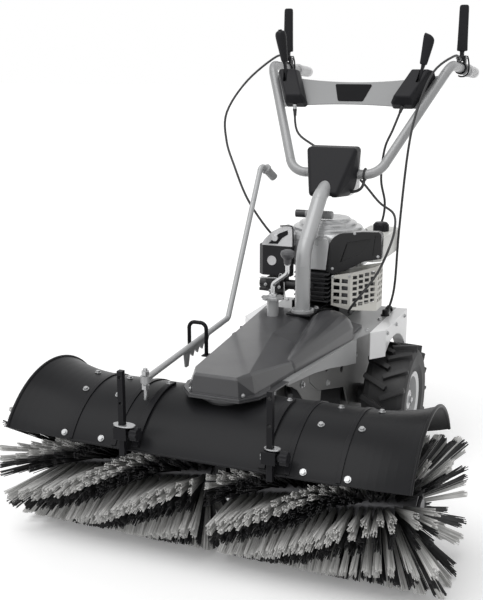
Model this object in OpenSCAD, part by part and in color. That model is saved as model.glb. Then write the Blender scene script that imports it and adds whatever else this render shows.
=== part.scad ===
// Power brush sweeper: a walk-behind machine with a swivelling roller brush.
// Millimetres. Front is -Y, up is +Z, the ground is z = 0.

/* [Wheels] */
// Outer diameter of the tyres
tyre_d = 328; // [300:2:340]
// Width of a tyre
tyre_w = 125; // [105:1:130]
// Distance between the wheel centres
track = 438; // [432:2:460]
// Diameter of the rims
rim_d = 152; // [140:2:164]
// Diameter of the wheel axle
axle_d = 25; // [20:1:28]

/* [Brush] */
// Diameter over the bristle tips
brush_d = 350; // [330:2:360]
// Distance from the wheel axle to the brush axle
brush_reach = 732; // [720:2:760]
// Distance from the middle to the end of a drum
drum_end = 462; // [440:2:466]
// Diameter of the drums
drum_d = 88; // [80:2:92]
// Diameter of the brush shaft
brush_shaft_d = 30; // [24:1:32]
// How far the end tufts lean outwards
tuft_flare = 137; // [100:1:140]

/* [Hood] */
// Half length of the middle section
hood_half = 208; // [200:2:220]
// Length of an extension
extension_len = 114; // [100:2:120]
// Length of an end cap
cap_len = 156; // [140:2:160]
// Growth of the radius at the open ends
cap_flare = 28; // [10:1:32]
// Sheet thickness of the hood
hood_wall = 3; // [2:0.5:4]

/* [Accessory bars] */
// Distance of a bar from the middle
bar_x = 176; // [172:1:186]
// Side of the square bar
bar_t = 13; // [10:1:16]
// Length of a bar
bar_len = 199; // [170:1:220]
// Diameter of the fixing holes
bar_hole_d = 8.5; // [6:0.5:9]

/* [Deck] */
// Height of the deck above the ground
deck_z = 398; // [396:1:410]
// Half width of the deck at the brush axle
nose_half = 104; // [100:1:112]
// Distance of the front edge of the deck before the brush axle
nose_front = 82; // [78:1:90]
// Half width of the deck at the wheels
rear_half = 178; // [176:1:184]
// Height of the belt cover
cover_h = 52; // [46:1:53]

/* [Engine] */
// Height of the engine plate above the deck
stand_h = 58; // [58:1:66]
// Radius of the blower shroud
shroud_r = 118; // [112:1:122]
// Height of the blower shroud
shroud_h = 130; // [120:1:136]

/* [Handlebar] */
// Diameter of the handlebar tube
handle_d = 28; // [25:1:32]
// Diameter of the column tube
column_d = 42; // [36:1:48]
// Height of the handles
handle_z = 1122; // [1100:2:1150]
// Distance of the grip ends behind the wheel axle
handle_back = 661; // [630:1:690]
// Length of the clutch levers above their pins
lever_len = 157; // [130:1:170]

/* [Support wheel] */
// Radius of the height crank
crank_arm = 42; // [36:1:43]
// Diameter of the castor wheel
castor_d = 120; // [100:2:130]

/* [Hidden] */
$fn = 48;
fit = 0.3;
run = 0.05;
// Height of the weld seams on bent tubes
seam = 0.25;
black = [0.09, 0.09, 0.1];
grey = [0.42, 0.43, 0.45];
zinc = [0.72, 0.73, 0.74];
silver = [0.66, 0.67, 0.68];
charcoal = [0.2, 0.2, 0.21];
white = [0.9, 0.9, 0.88];

// Wheels
tyre_r = tyre_d / 2;
axle_z = tyre_r;
rim_r = rim_d / 2;
axle_r = axle_d / 2;
axle_half = track / 2 + tyre_w / 2 - 20;

// Deck
deck_t = 3;
deck_rear = 160;
deck_low = deck_z - deck_t;
corner_y = -205;
corner_half = 160;
skirt_y = -640;
ring_t = 11;
side_slope = (corner_half - nose_half) / (corner_y + brush_reach);
plate_x = 110;
plate_t = 4;
function deck_half(y) = nose_half + side_slope * (y + brush_reach);

// Brush head
brush_z = brush_d / 2;
hood_r = deck_low - ring_t - 2 - brush_z;
turret_r = 56;
turret_pin_r = 38;
turret_top = deck_low - ring_t - fit;
drive_r = 10;
hood_front = 32.5;
hood_back = 148;
cap_x = hood_half + extension_len;
strap_x = bar_x - 24;
bolt_spots = [[hood_half + 35, 36.4], [hood_half + 42, 70], [hood_half + 60, 95], [cap_x + 18, 36.4],
    [cap_x + 18, 71], [cap_x + 38, 96]];
function cap_r(x) = hood_r + cap_flare * pow(max(0, x - cap_x) / cap_len, 2.2);
bar_y = -brush_reach - 185;
clamp_z = brush_z + 155;
bar_low = clamp_z - 55;
clamp_half = 16;
knob_r = 16;
stud_x = -bar_x - 2;
stud_y = -brush_reach - 69;
stud_r = 5;
rod_z = deck_z + 20;
rod_r = 7.5;
drum_gap = 28;

// Belt drive
engine_y = 10;
belt_z = deck_z + 10;
belt_h = 12;
belt_t = 9;
front_belt_r = 61;
rear_belt_r = 37;
idler_r = 24;
idler_pos = [81, -240];
idler_pivot = [112, -195];

// Engine
eng_z = deck_z + stand_h;
stand_t = 4;
stand_half = 72;
crank_r = 12.5;
shroud_z = eng_z + 104;
guard_x = 57;
cap_pos = [146, 62];
starter_x = -25;
starter_y = engine_y - 55;
starter_z = shroud_z + shroud_h + 14;
starter_r = 11;

// Column and handlebar
column_y = -210;
column_r = column_d / 2;
handle_r = handle_d / 2;
bar_mid = [0, 62, handle_z - 310];
column_bend = [0, column_y, eng_z + 166];
column_knee = [0, bar_mid.y - 134, bar_mid.z - 52];
arm_foot = 130;
arm_top = [284, 285, handle_z];
grip_wall = 3;
handle_end = [290, handle_back - grip_wall - 1, handle_z - 26];
arm_tilt = atan2(arm_top.z - bar_mid.z, arm_top.y - bar_mid.y);
arm_rise = norm([arm_top.y - bar_mid.y, arm_top.z - bar_mid.z]);
arm_lean = (arm_top.x - arm_foot) / arm_rise;
handle_dir = unit(handle_end - arm_top);
perch_s = 157;
perch = arm_top + handle_dir * perch_s;
lever_pin = [perch.x, perch.y, perch.z + 32];
lever_pin_r = 3;
console_pin = [206, 300, 24];
control_pin_r = 4;
control_lean = 10;

// Support wheel
crank_x = -70;
crank_y = -258;
sleeve_r = 16;
stem_r = 12.5;
sleeve_top = deck_z + 99;
castor_r = castor_d / 2;
castor_trail = 32;
fork_top = castor_r + 136;

// The box of the whole machine is centred on the origin
front_y = min(bar_y - knob_r, -brush_reach - (hood_r + cap_flare + 3) * cos(hood_front));
mid_y = (front_y + handle_back) / 2;

module place() {
    translate([0, -mid_y, 0]) children();
}

module both() {
    for (m = [0, 1]) mirror([m, 0, 0]) children();
}

module along_x() {
    rotate([0, 90, 0]) children();
}

module at_brush() {
    translate([0, -brush_reach, brush_z]) children();
}

// Angles about the brush run from the front upwards, depth runs along -X
module round_brush() {
    at_brush() rotate([90, 0, -90]) children();
}

module arc_sheet(r, wall, x0, x1, a0, a1) {
    round_brush() rotate([0, 0, a0]) rotate_extrude(angle = a1 - a0, $fn = 96)
        translate([r - wall, -x1]) square([wall, x1 - x0]);
}

// Angled frame of the handlebar arms
module arm_plane() {
    translate(bar_mid) rotate([arm_tilt, 0, 0]) children();
}

function unit(v) = v / norm(v);
function turn_angle(a, b, c) = acos(unit(b - a) * unit(c - b));
function tangent_len(a, b, c, bend) = bend * tan(turn_angle(a, b, c) / 2);

module toward(p, q) {
    v = q - p;
    translate(p) rotate([0, acos(v.z / norm(v)), atan2(v.y, v.x)]) children();
}

module rod(p, q, r) {
    toward(p, q) cylinder(h = norm(q - p), r = r);
}

module elbow(a, b, c, bend, r) {
    u = unit(b - a);
    w = unit(c - b);
    z = unit(cross(u, w));
    s = b - u * tangent_len(a, b, c, bend);
    n = cross(z, u);
    o = s + n * bend;
    multmatrix([[-n.x, u.x, z.x, o.x], [-n.y, u.y, z.y, o.y], [-n.z, u.z, z.z, o.z], [0, 0, 0, 1]])
        rotate_extrude(angle = turn_angle(a, b, c)) translate([bend, 0]) circle(r = r);
}

function cut_len(pts, i, bend) = i == 0 || i == len(pts) - 1 ? 0
    : tangent_len(pts[i - 1], pts[i], pts[i + 1], bend);

module bent_bar(pts, bend, r) {
    for (i = [0:len(pts) - 2]) {
        u = unit(pts[i + 1] - pts[i]);
        rod(pts[i] + u * cut_len(pts, i, bend), pts[i + 1] - u * cut_len(pts, i + 1, bend), r);
    }
    for (i = [1:len(pts) - 2]) {
        elbow(pts[i - 1], pts[i], pts[i + 1], bend, r);
        for (q = [pts[i - 1], pts[i + 1]]) {
            u = unit(q - pts[i]);
            s = pts[i] + u * cut_len(pts, i, bend);
            rod(s - u, s + u, r + seam);
        }
    }
}

// Smooth routes of the cables, swept with eight sides
function catmull(a, b, c, d, t) = 0.5 * (2 * b + (c - a) * t + (2 * a - 5 * b + 4 * c - d) * t * t
    + (3 * b - a - 3 * c + d) * t * t * t);
function near(pts, i) = pts[min(max(i, 0), len(pts) - 1)];
function route(pts, steps) = concat([for (i = [0:len(pts) - 2]) for (k = [0:steps - 1])
    catmull(near(pts, i - 1), pts[i], pts[i + 1], near(pts, i + 2), k / steps)], [pts[len(pts) - 1]]);
function tangents(p) = [for (i = [0:len(p) - 1]) unit(near(p, i + 1) - near(p, i - 1))];
function side_start(t) = unit(cross(t, abs(t.z) < 0.8 ? [0, 0, 1] : [1, 0, 0]));
function side_list(t) = [for (i = 0, n = side_start(t[0]); i < len(t);
    i = i + 1, n = i < len(t) ? unit(n - t[i] * (n * t[i])) : n) n];

module cable(pts, r, steps) {
    p = route(pts, steps);
    t = tangents(p);
    n = side_list(t);
    m = len(p);
    points = [for (i = [0:m - 1]) for (k = [0:7])
        p[i] + r * (n[i] * cos(45 * k) + cross(t[i], n[i]) * sin(45 * k))];
    walls = [for (i = [0:m - 2]) for (k = [0:7]) for (f = [0, 1])
        f == 0 ? [i * 8 + k, i * 8 + 8 + k, i * 8 + 8 + (k + 1) % 8]
        : [i * 8 + k, i * 8 + 8 + (k + 1) % 8, i * 8 + (k + 1) % 8]];
    ends = [for (k = [1:6]) for (f = [0, 1])
        f == 0 ? [0, k, k + 1] : [m * 8 - 8, m * 8 - 8 + k + 1, m * 8 - 8 + k]];
    polyhedron(points = points, faces = concat(walls, ends));
}

// Deck, chassis and covers
module deck_outline() {
    f = -brush_reach - nose_front;
    right = [[62, f], [94, f + 40], [nose_half, -brush_reach], [corner_half, corner_y], [rear_half,
        corner_y + 55],
        [rear_half, deck_rear]];
    polygon(concat(right, [for (k = [len(right) - 1:-1:0]) [-right[k].x, right[k].y]]));
}

module skirt() {
    run_y = corner_y - skirt_y;
    turn = atan(side_slope);
    l = run_y / cos(turn);
    translate([deck_half(skirt_y) - deck_t, skirt_y, 0]) rotate([0, 0, 90 - turn]) rotate([90, 0, 0])
        translate([0, 0, -deck_t]) linear_extrude(deck_t) polygon([[0, deck_low + 1], [l, deck_low + 1],
            [l, deck_low - 72], [0.85 * l, deck_low - 60], [0.6 * l, deck_low - 37], [0.35 * l, deck_low -
                20],
            [0, deck_low - 7]]);
}

module deck_tray() {
    color(silver) place() difference() {
        union() {
            translate([0, 0, deck_low]) linear_extrude(deck_t) deck_outline();
            both() skirt();
            translate([0, -brush_reach, deck_low - ring_t]) cylinder(h = ring_t + 1, r = 68);
        }
        translate([0, -brush_reach, deck_low - ring_t - 1]) cylinder(h = ring_t + 1, r = turret_pin_r + run);
        translate([0, -brush_reach, deck_low - 2]) cylinder(h = 9, r = 24);
        translate([crank_x, crank_y, deck_low - 1]) cylinder(h = 9, r = sleeve_r + fit);
        translate([idler_pivot.x, idler_pivot.y, deck_low - 1]) cylinder(h = 9, r = 6 + run);
    }
}

module chassis_plates() {
    color(silver) place() both() difference() {
        translate([plate_x - plate_t / 2, 0, 0]) rotate([90, 0, 90]) linear_extrude(plate_t) difference() {
            polygon([[-470, deck_low - fit], [-470, 345], [-400, 300], [-160, 235], [-75, axle_z - 60],
                [75, axle_z - 60], [120, 250], [140, deck_low - fit]]);
            translate([0, axle_z]) circle(r = 30 + fit);
            translate([-330, 345]) circle(r = 14);
            translate([-190, 300]) circle(r = 14);
        }
    }
}

module transmission_case() {
    color(grey) place() difference() {
        union() {
            translate([0, 0, axle_z]) along_x() cylinder(h = 150, r = 72, center = true);
            translate([-75, -60, axle_z]) cube([150, 130, 130]);
            translate([0, 0, axle_z]) along_x() cylinder(h = 280, r = 30, center = true);
            for (m = [-1, 1]) translate([m * (plate_x - plate_t / 2 - 4 - fit), 0, axle_z]) along_x()
                cylinder(h = 8, r = 52, center = true);
            translate([0, 5, axle_z + 120]) cylinder(h = 30, r = 26);
        }
        translate([0, 0, axle_z]) along_x() cylinder(h = 400, r = axle_r + run, center = true);
    }
}

module fenders() {
    arch_r = tyre_r + 26;
    x0 = rear_half + fit;
    x1 = rear_half + 34;
    y0 = corner_y + 56;
    y1 = corner_y + 100;
    low = axle_z + 157;
    color(silver) place() both() {
        translate([0, 0, deck_low]) linear_extrude(deck_t)
            polygon([[x0, y0], [x1, y1], [x1, deck_rear], [x0, deck_rear]]);
        translate([x1 - deck_t, 0, 0]) rotate([90, 0, 90]) linear_extrude(deck_t) difference() {
            polygon([[y1, deck_z], [y1, low], [deck_rear, axle_z + 110], [deck_rear, deck_z]]);
            translate([0, axle_z]) circle(r = arch_r + 1);
        }
        translate([x0, y0, low]) rotate([0, 0, atan2(y1 - y0, x1 - x0)])
            translate([0, -deck_t, 0]) cube([norm([x1 - x0, y1 - y0]), deck_t, deck_z - low]);
        translate([x0 + 1, 0, axle_z]) rotate([90, 0, 90]) rotate([0, 0, 34])
            rotate_extrude(angle = 84, $fn = 96) translate([arch_r, 0]) square([deck_t, x1 - x0 - deck_t]);
    }
}

// Belt cover: a flat top with a slanted right side, and the long blister of the idler; d makes the hollow
cover_mid = -427;
cover_rear = corner_y + 97;
function cover_half(y) = deck_half(y) - 17;

module slice(z, pts) {
    translate([0, 0, z]) linear_extrude(0.1) polygon(pts);
}

module cover_front(d) {
    f = -brush_reach - nose_front + 8 + d;
    m = cover_half(cover_mid) - d;
    side = cover_half(-brush_reach) - d;
    low = [[-57 + d / 2, f], [57 - d / 2, f], [side - 5, f + 36], [side, -brush_reach], [m, cover_mid + 1],
        [-m, cover_mid + 1], [-side, -brush_reach], [5 - side, f + 36]];
    hull() {
        slice(deck_z - min(d, 1), low);
        slice(deck_z + 9 - d / 3, low);
        slice(deck_z + cover_h - 6 - d, [[3 - 57 + d / 2, f + 3], [57 - d / 2 - 3, f + 3], [70 - d, f + 48],
            [d - 72, f + 48]]);
        slice(deck_z + cover_h - d, [[d - 50, f + 7], [50 - d, f + 7], [63 - d, f + 50], [-6 - d,
            cover_mid + 1],
            [d - 101, cover_mid + 1], [d - 69, f + 46]]);
    }
}

module cover_back(d) {
    m = cover_half(cover_mid) - d;
    w = cover_half(corner_y) - d;
    low = [[-m, cover_mid - d], [m, cover_mid - d], [w, corner_y], [w, cover_rear - d], [-w, cover_rear -
        d], [-w, corner_y]];
    hull() {
        slice(deck_z - min(d, 1), low);
        slice(deck_z + 9 - d / 3, low);
        slice(deck_z + cover_h - d, [[-6 - d, cover_mid - d], [6 - d, -165 - d], [d - 126, -165 - d], [d -
            101, cover_mid - d]]);
    }
}

module cover_lip() {
    f = -brush_reach - nose_front + 1;
    translate([0, 0, deck_z]) linear_extrude(6) polygon([[-61, f], [61, f], [93, f + 40], [nose_half - 1,
        -brush_reach],
        [90, 40 - brush_reach], [-90, 40 - brush_reach], [1 - nose_half, -brush_reach], [-93, f + 40]]);
}

module blister_end(x, y, r, h, d) {
    translate([x, y, deck_z - min(d, 1)]) rotate_extrude($fn = 40) polygon(concat([[0, 0]],
        [for (k = [0:6]) [(r - d) * cos(15 * k), k == 0 ? 0 : min(d, 1) + 0.2 * h + (0.8 * h - d) * sin(15
            * k)]]));
}

module cover_blister(d) {
    hull() {
        blister_end(88, corner_y - 27, 65, 74, d);
        blister_end(90, -560, 17, 32, d);
    }
}

module belt_cover() {
    color(charcoal) place() difference() {
        union() {
            cover_lip();
            cover_front(0);
            cover_back(0);
            cover_blister(0);
        }
        cover_front(3);
        cover_back(3);
        cover_blister(3);
        translate([crank_x, crank_y, deck_z - 1]) cylinder(h = 90, r = sleeve_r + fit);
        translate([-60, corner_y + 60, deck_z - 1]) cube([120, 50, 28]);
    }
}

module engine_stand() {
    top = eng_z - stand_t;
    color(black) place() difference() {
        union() {
            translate([-stand_half, -95, top]) cube([2 * stand_half, 235, stand_t]);
            translate([-34, column_y - 38, top]) cube([68, -56 - column_y, stand_t]);
            both() translate([stand_half - 3, -95, deck_z]) cube([3, 235, stand_h - stand_t + 1]);
            translate([-stand_half, 137, deck_z]) cube([2 * stand_half, 3, stand_h - stand_t + 1]);
        }
        translate([0, engine_y, top - 1]) cylinder(h = 9, r = 22);
    }
}

module engine_block() {
    color(black) place() difference() {
        union() {
            translate([0, engine_y, eng_z]) cylinder(h = 10, r = 70);
            translate([0, engine_y, eng_z]) cylinder(h = shroud_z - eng_z - fit, r = 62);
            translate([-36, -128, eng_z + 16]) cube([72, 100, 80]);
            for (k = [0:6]) translate([-50, -140, eng_z + 14 + 13 * k]) cube([100, 90, 4]);
            translate([-89.7, -95, eng_z + 46]) along_x() cylinder(h = 60, r = 14);
            translate([30, -70, eng_z + 50]) along_x() cylinder(h = 49.7, r = 14);
            translate([0, -128, eng_z + 60]) rotate([90, 0, 0]) cylinder(h = 18, r = 8);
        }
        translate([0, engine_y, eng_z - 1]) cylinder(h = 40, r = crank_r + run);
    }
}

module blower_shroud() {
    h = shroud_h;
    r = shroud_r;
    color(silver) place() difference() {
        union() {
            translate([0, engine_y, shroud_z]) rotate_extrude($fn = 96) polygon([[0, 0], [r, 0], [r, h - 52],
                [r - 3, h - 43], [r - 11, h - 35], [r - 17, h - 33], [r - 17, h - 26], [r - 21, h - 23],
                    [r - 34, h - 21],
                [r - 34, h - 14], [r - 38, h - 11], [r - 52, h - 9], [r - 52, h - 3], [r - 56, h], [0, h]]);
            translate([0, engine_y - r + 42, shroud_z]) rotate([90, 0, 0]) linear_extrude(60)
                polygon([[-30, 0], [38, 0],
                [46, h - 54], [40, h - 42], [30, h - 38], [-26, h - 38], [-34, h - 42], [-38, h - 50]]);
            translate([starter_x - 9, starter_y - 21, shroud_z + h - 16]) cube([18, 9, 38]);
        }
        translate([0, engine_y, shroud_z + 4]) rotate_extrude($fn = 96) polygon([[0, 0], [r - 4, 0],
            [r - 4, h - 58], [r - 40, h - 30], [r - 60, h - 16], [0, h - 12]]);
        translate([starter_x, starter_y, starter_z]) rotate([90, 0, 0]) cylinder(h = 40, r = 3 + run);
    }
}

module engine_cover() {
    front = engine_y - shroud_r - 17;
    color(black) place() difference() {
        translate([0, front, shroud_z]) rotate([90, 0, 0]) translate([0, 0, -24]) linear_extrude(24)
            polygon(concat([[38 + fit, -6], [62, -10], [100, 6], [150, 34], [196, 44]],
                [for (k = [0:6]) [184 + 12 * cos(15 * k), 106 + 12 * sin(15 * k)]], [[140, 116]],
                [for (k = [0:6]) [98 - 51 * sin(15 * k), 66 + 44 * cos(15 * k)]], [[46 + fit, 40]]));
        translate([0, engine_y, shroud_z - 1]) cylinder(h = 200, r = shroud_r + fit, $fn = 96);
        translate([0, front + 6, shroud_z]) rotate([90, 0, 0]) linear_extrude(9)
            polygon([[80, 26], [140, 54], [166, 98], [98, 82]]);
        translate([0, front + 3, shroud_z]) rotate([90, 0, 0]) linear_extrude(9)
            polygon([[172, 50], [188, 52], [188, 104], [178, 108]]);
    }
}

module fuel_tank() {
    front = engine_y - shroud_r + 8;
    color(white) place() difference() {
        union() {
            translate([0, 0, shroud_z + 28]) linear_extrude(62) difference() {
                translate([92, front]) square([94, 246]);
                translate([0, engine_y]) circle(r = shroud_r + fit, $fn = 96);
                for (p = [[186, front], [186, front + 246]]) translate(p) rotate([0, 0, 45]) square(26,
                    center = true);
            }
            translate([cap_pos.x, cap_pos.y, shroud_z + 85]) cylinder(h = 17, r = 15);
        }
        translate([cap_pos.x, cap_pos.y, shroud_z + 60]) cylinder(h = 50, r = 12);
    }
}

module air_cleaner() {
    color(black) place() difference() {
        union() {
            translate([0, 0, eng_z + 72]) linear_extrude(88) difference() {
                translate([-174, -110]) square([102, 88]);
                for (p = [[-174, -110], [-174, -22]]) translate(p) rotate([0, 0, 45]) square([22, 22],
                    center = true);
            }
            translate([0, -20, eng_z + 160]) rotate([90, 0, 0]) linear_extrude(92) polygon([[-160, 0],
                [-67, 0], [-67, 50],
                [-72, 57], [-102, 56], [-128, 42], [-152, 18], [-160, 6]]);
            translate([-118, -111, eng_z + 184]) rotate([90, 0, 0]) cylinder(h = 10, r = 9);
        }
        translate([0, engine_y, eng_z]) cylinder(h = 400, r = shroud_r + fit, $fn = 96);
    }
}

module carburettor() {
    color(zinc) place() {
        translate([-146, -118, eng_z + 26]) cube([56, 46, 39.7]);
        translate([-118, -95, eng_z + 4]) cylinder(h = 23, r = 20);
        translate([-168, -95, eng_z + 46]) along_x() cylinder(h = 24, r = 16);
        translate([-128, -126, eng_z + 52]) cube([34, 10, 5]);
        translate([-100, -132, eng_z + 36]) cube([4, 16, 26]);
        translate([-160, -132, eng_z + 30]) cube([40, 4, 8]);
        translate([-126, -133, eng_z + 30]) cube([6, 16, 8]);
    }
}

module muffler() {
    color(grey) place() {
        translate([0, 0, eng_z + 10]) linear_extrude(78)
            polygon([[80, -117], [106, -117], [160, -63], [160, -26], [152, -18], [80, -18]]);
        translate([120, -19, eng_z + 44]) rotate([-90, 0, 0]) cylinder(h = 14, r = 14);
    }
}

module guard_form(d) {
    turn = guard_x + 55;
    difference() {
        translate([0, 0, eng_z - 24]) linear_extrude(170) polygon([[guard_x - d, -128 + d], [turn - d / 2,
            -128 + d],
            [turn + 61 - d, -67 + d / 2], [turn + 61 - d, -6 + d], [guard_x + 23 - d, -6 + d], [guard_x -
                d, -60]]);
        translate([guard_x, -200, eng_z + 90 - d]) rotate([0, -12, 0]) translate([-50, 0, 0]) cube([300,
            300, 200]);
        translate([guard_x, -200, eng_z + 5 + d]) rotate([0, 10, 0]) translate([-50, 0, -200]) cube([300,
            300, 200]);
    }
}

module muffler_guard() {
    turn = guard_x + 55;
    color(white) place() difference() {
        guard_form(0);
        guard_form(3);
        for (k = [0:3]) for (j = [0, 1]) translate([guard_x + 6 + 24 * j, -131, eng_z + 11 + 20 * k])
            cube([18, 8, 12]);
        translate([turn, -128, 0]) rotate([0, 0, 45]) for (k = [0:5]) for (j = [0:3])
            translate([8 + 19 * j, -4, eng_z + 3 + 3 * j + 16 * k]) cube([14, 9, 10]);
        for (k = [0:5]) for (j = [0:2]) translate([turn + 55, -59 + 18 * j, eng_z + 8 + 16 * k]) cube([9,
            12, 10]);
    }
}

// Column, handlebar and controls
column_dir = unit(bar_mid - column_knee);

module steering_column() {
    color(silver) place() difference() {
        union() {
            bent_bar([[0, column_y, eng_z], column_bend, column_knee, bar_mid - column_dir * (handle_r +
                fit)],
                85, column_r);
            translate([0, column_y, eng_z]) cylinder(h = 7, r = 33);
        }
        translate([0, column_y, eng_z - 1]) cylinder(h = 110, r = column_r - 3);
    }
}

module cover_form() {
    c = bar_mid;
    hull() {
        for (m = [-1, 1]) for (p = [[64, 8, 68], [64, -26, 66], [62, 10, -36], [48, 0, -52], [34, -96, -46],
            [52, -50, -12]]) translate([m * p.x, c.y + p.y, c.z + p.z]) sphere(r = 12, $fn = 24);
        for (m = [-1, 1]) for (p = [[58, 24, 64], [50, 24, -44]])
            translate([m * p.x, c.y + p.y, c.z + p.z]) sphere(r = 10, $fn = 24);
    }
}

module cover_cut(front) {
    translate(bar_mid + [0, -8, 0]) rotate([-14, 0, 0]) translate([-150, front ? -0.15 : -299.85, -200])
        cube([300, 300, 400]);
}

module cover_bores() {
    rod(bar_mid - [200, 0, 0], bar_mid + [200, 0, 0], handle_r + fit);
    rod(column_knee - column_dir * 10, bar_mid + column_dir * (column_r - 4), column_r + fit);
}

module column_cover() {
    color(black) place() difference() {
        cover_form();
        cover_cut(true);
        cover_bores();
        translate(bar_mid + [0, -90, -66]) rotate([90, 0, 0]) cylinder(h = 60, r = 27, center = true);
    }
}

module column_cover_back() {
    color(silver) place() difference() {
        cover_form();
        cover_cut(false);
        cover_bores();
    }
}

module handlebar() {
    a = arm_top;
    color(silver) place() bent_bar([[-handle_end.x, handle_end.y, handle_end.z], [-a.x, a.y, a.z],
        [-arm_foot, bar_mid.y, bar_mid.z], [arm_foot, bar_mid.y, bar_mid.z], a, handle_end], 62, handle_r);
}

module dash_panel() {
    low = 226;
    high = 342;
    inset = handle_r / cos(atan(arm_lean)) + fit;
    x0 = arm_foot + arm_lean * low - inset;
    x1 = arm_foot + arm_lean * high - inset;
    color(silver) place() arm_plane() translate([0, 0, -1.5]) linear_extrude(3) difference() {
        polygon([[-x0, low], [x0, low], [x1, high], [-x1, high]]);
        translate([0, 317 + 1264]) circle(r = 1264, $fn = 360);
        translate([0, 239 - 1824]) circle(r = 1824, $fn = 360);
    }
}

module console_form() {
    hull() {
        for (p = [[142, 234], [192, 234], [236, 336], [184, 336]]) translate([p.x, p.y, 1.5 + fit])
            cylinder(h = 22, r = 9, $fn = 24);
        for (p = [[150, 242], [190, 242], [228, 328], [186, 328]]) translate([p.x, p.y, 40])
            sphere(r = 8, $fn = 24);
    }
}

// A console with the slot and the pin of its lever; the left one is its mirror image
module console() {
    difference() {
        arm_plane() console_form();
        lever_frame() translate([-6, -27, -14]) cube([12, 54, 110]);
    }
    lever_frame() translate([0, 0, 0]) along_x() cylinder(h = 16, r = control_pin_r, center = true);
}

function arm_point(x, v, n) = bar_mid + [x, v * cos(arm_tilt) - n * sin(arm_tilt),
    v * sin(arm_tilt) + n * cos(arm_tilt)];
lever_foot = arm_point(console_pin.x, console_pin.y, console_pin.z);

module lever_frame() {
    translate(lever_foot) rotate([0, control_lean, 0]) children();
}

module gear_console() {
    color(black) place() mirror([1, 0, 0]) console();
}

module throttle_console() {
    color(black) place() console();
}

gear_top = 152;

module lever_hub() {
    difference() {
        union() {
            along_x() cylinder(h = 11, r = 9, center = true);
            children();
        }
        along_x() cylinder(h = 40, r = control_pin_r + run, center = true);
    }
}

module gear_lever() {
    color(black) place() mirror([1, 0, 0]) lever_frame() difference() {
        lever_hub() {
            translate([-4, -6, 4]) cube([8, 12, 62]);
            translate([0, 0, 62]) cylinder(h = gear_top - 62, r1 = 8, r2 = 12);
        }
        translate([0, 0, gear_top - 24]) cylinder(h = 30, r = 6 + run);
    }
}

module gear_button() {
    color(black) place() mirror([1, 0, 0]) lever_frame() translate([0, 0, gear_top - 16]) cylinder(h = 24,
        r = 6);
}

module throttle_lever() {
    color(black) place() lever_frame() lever_hub() {
        translate([-4, -6, 4]) cube([8, 12, 50]);
        translate([0, 4, 0]) rotate([90, 0, 0]) linear_extrude(8) polygon([[-4, 40], [4, 40], [9, 70],
            [14, 124],
            [-13, 130], [-12, 100], [-6, 62]]);
    }
}

module lever_perch() {
    difference() {
        union() {
            toward(perch - handle_dir * 16, perch + handle_dir * 16) cylinder(h = 32, r = handle_r + 5);
            translate([perch.x - 13, perch.y - 14, perch.z + handle_r - 1]) cube([26, 28, 40 - handle_r]);
            translate([perch.x, perch.y - 38, lever_pin.z - 6]) rotate([-90, 0, 0]) cylinder(h = 28, r = 7);
        }
        rod(perch - handle_dir * 60, perch + handle_dir * 60, handle_r + run);
        translate([perch.x - 6.5, perch.y - 13, perch.z + handle_r + 3]) cube([13, 40, 60]);
        translate([perch.x - 6.5, perch.y - 22, lever_pin.z - 13]) cube([13, 40, 60]);
        translate(lever_pin) along_x() cylinder(h = 60, r = lever_pin_r + run, center = true);
    }
    translate(lever_pin) along_x() cylinder(h = 28, r = lever_pin_r, center = true);
}

module lever_perches() {
    color(black) place() both() lever_perch();
}

module clutch_lever() {
    translate(lever_pin) difference() {
        union() {
            along_x() cylinder(h = 12, r = 10, center = true);
            translate([0, 5, 0]) rotate([90, 0, 0]) linear_extrude(10) polygon([[-6, 0], [6, 0], [6, 16],
                [11, 30],
                [12, lever_len - 8], [8, lever_len], [-8, lever_len], [-12, lever_len - 8], [-11, 30],
                    [-6, 16]]);
        }
        along_x() cylinder(h = 40, r = lever_pin_r + run, center = true);
    }
}

module left_clutch_lever() {
    color(black) place() mirror([1, 0, 0]) clutch_lever();
}

module right_clutch_lever() {
    color(black) place() clutch_lever();
}

module hand_grips() {
    l = 118;
    tip = handle_end + handle_dir * grip_wall;
    color(silver) place() both() difference() {
        toward(tip - handle_dir * l, tip) {
            cylinder(h = l, r = handle_r + 3);
            cylinder(h = 6, r = handle_r + 6);
            for (k = [0:6]) translate([0, 0, 18 + 12 * k]) cylinder(h = 6, r = handle_r + 4);
        }
        rod(tip - handle_dir * (l + 20), handle_end, handle_r + run);
    }
}

// Round points along each cable, from the control to its fitting
cable_r = 3.5;
left_cable = [lever_mouth(-1), [-285, 330, handle_z + 26], [-334, 200, handle_z - 48], [-364, 105, 980],
    [-350, 70, 895], [-304, 25, 822], [-255, -6, 742], [-206, -15, 676], [-160, -9, 622],
    [-0.5 - shroud_r, -8, shroud_z + 36]];
gear_cable = [arm_point(-168, 223.4, 18), [-155, 165, 925], [-90, 130, 886], [0, 134, 838], [64, 140, 780],
    [128, 100, 728], [184, 52, 704], [206, -20, 668], [206, -84, 622], [190, -134, 566], [158, -164, 514],
    [132, -166, 478], [118, -156, 456], [116, -136, 446]];
throttle_cable = [arm_point(168, 223.4, 18), [146, 160, 936], [126, 150, 880], [118, 152, 790], [130, 160,
    716],
    [118, 163, 650], [84, 152, 604], [0.556 * (shroud_r + 3), engine_y + 0.831 * (shroud_r + 3), shroud_z
        + 30]];
right_cable = [lever_mouth(1), [285, 330, handle_z + 26], [246, 220, handle_z - 20], [220, 150, 1000],
    [210, 92, 884], [192, 95, 650], [190, 70, 480], [172, 60, deck_z + 2]];
function lever_mouth(m) = [m * perch.x, perch.y - 40, lever_pin.z - 6];

module control_cables() {
    color(black) place() {
        cable(left_cable, cable_r, 2);
        cable(gear_cable, cable_r, 2);
        cable(throttle_cable, cable_r, 2);
        cable(right_cable, cable_r, 2);
    }
}

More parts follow.
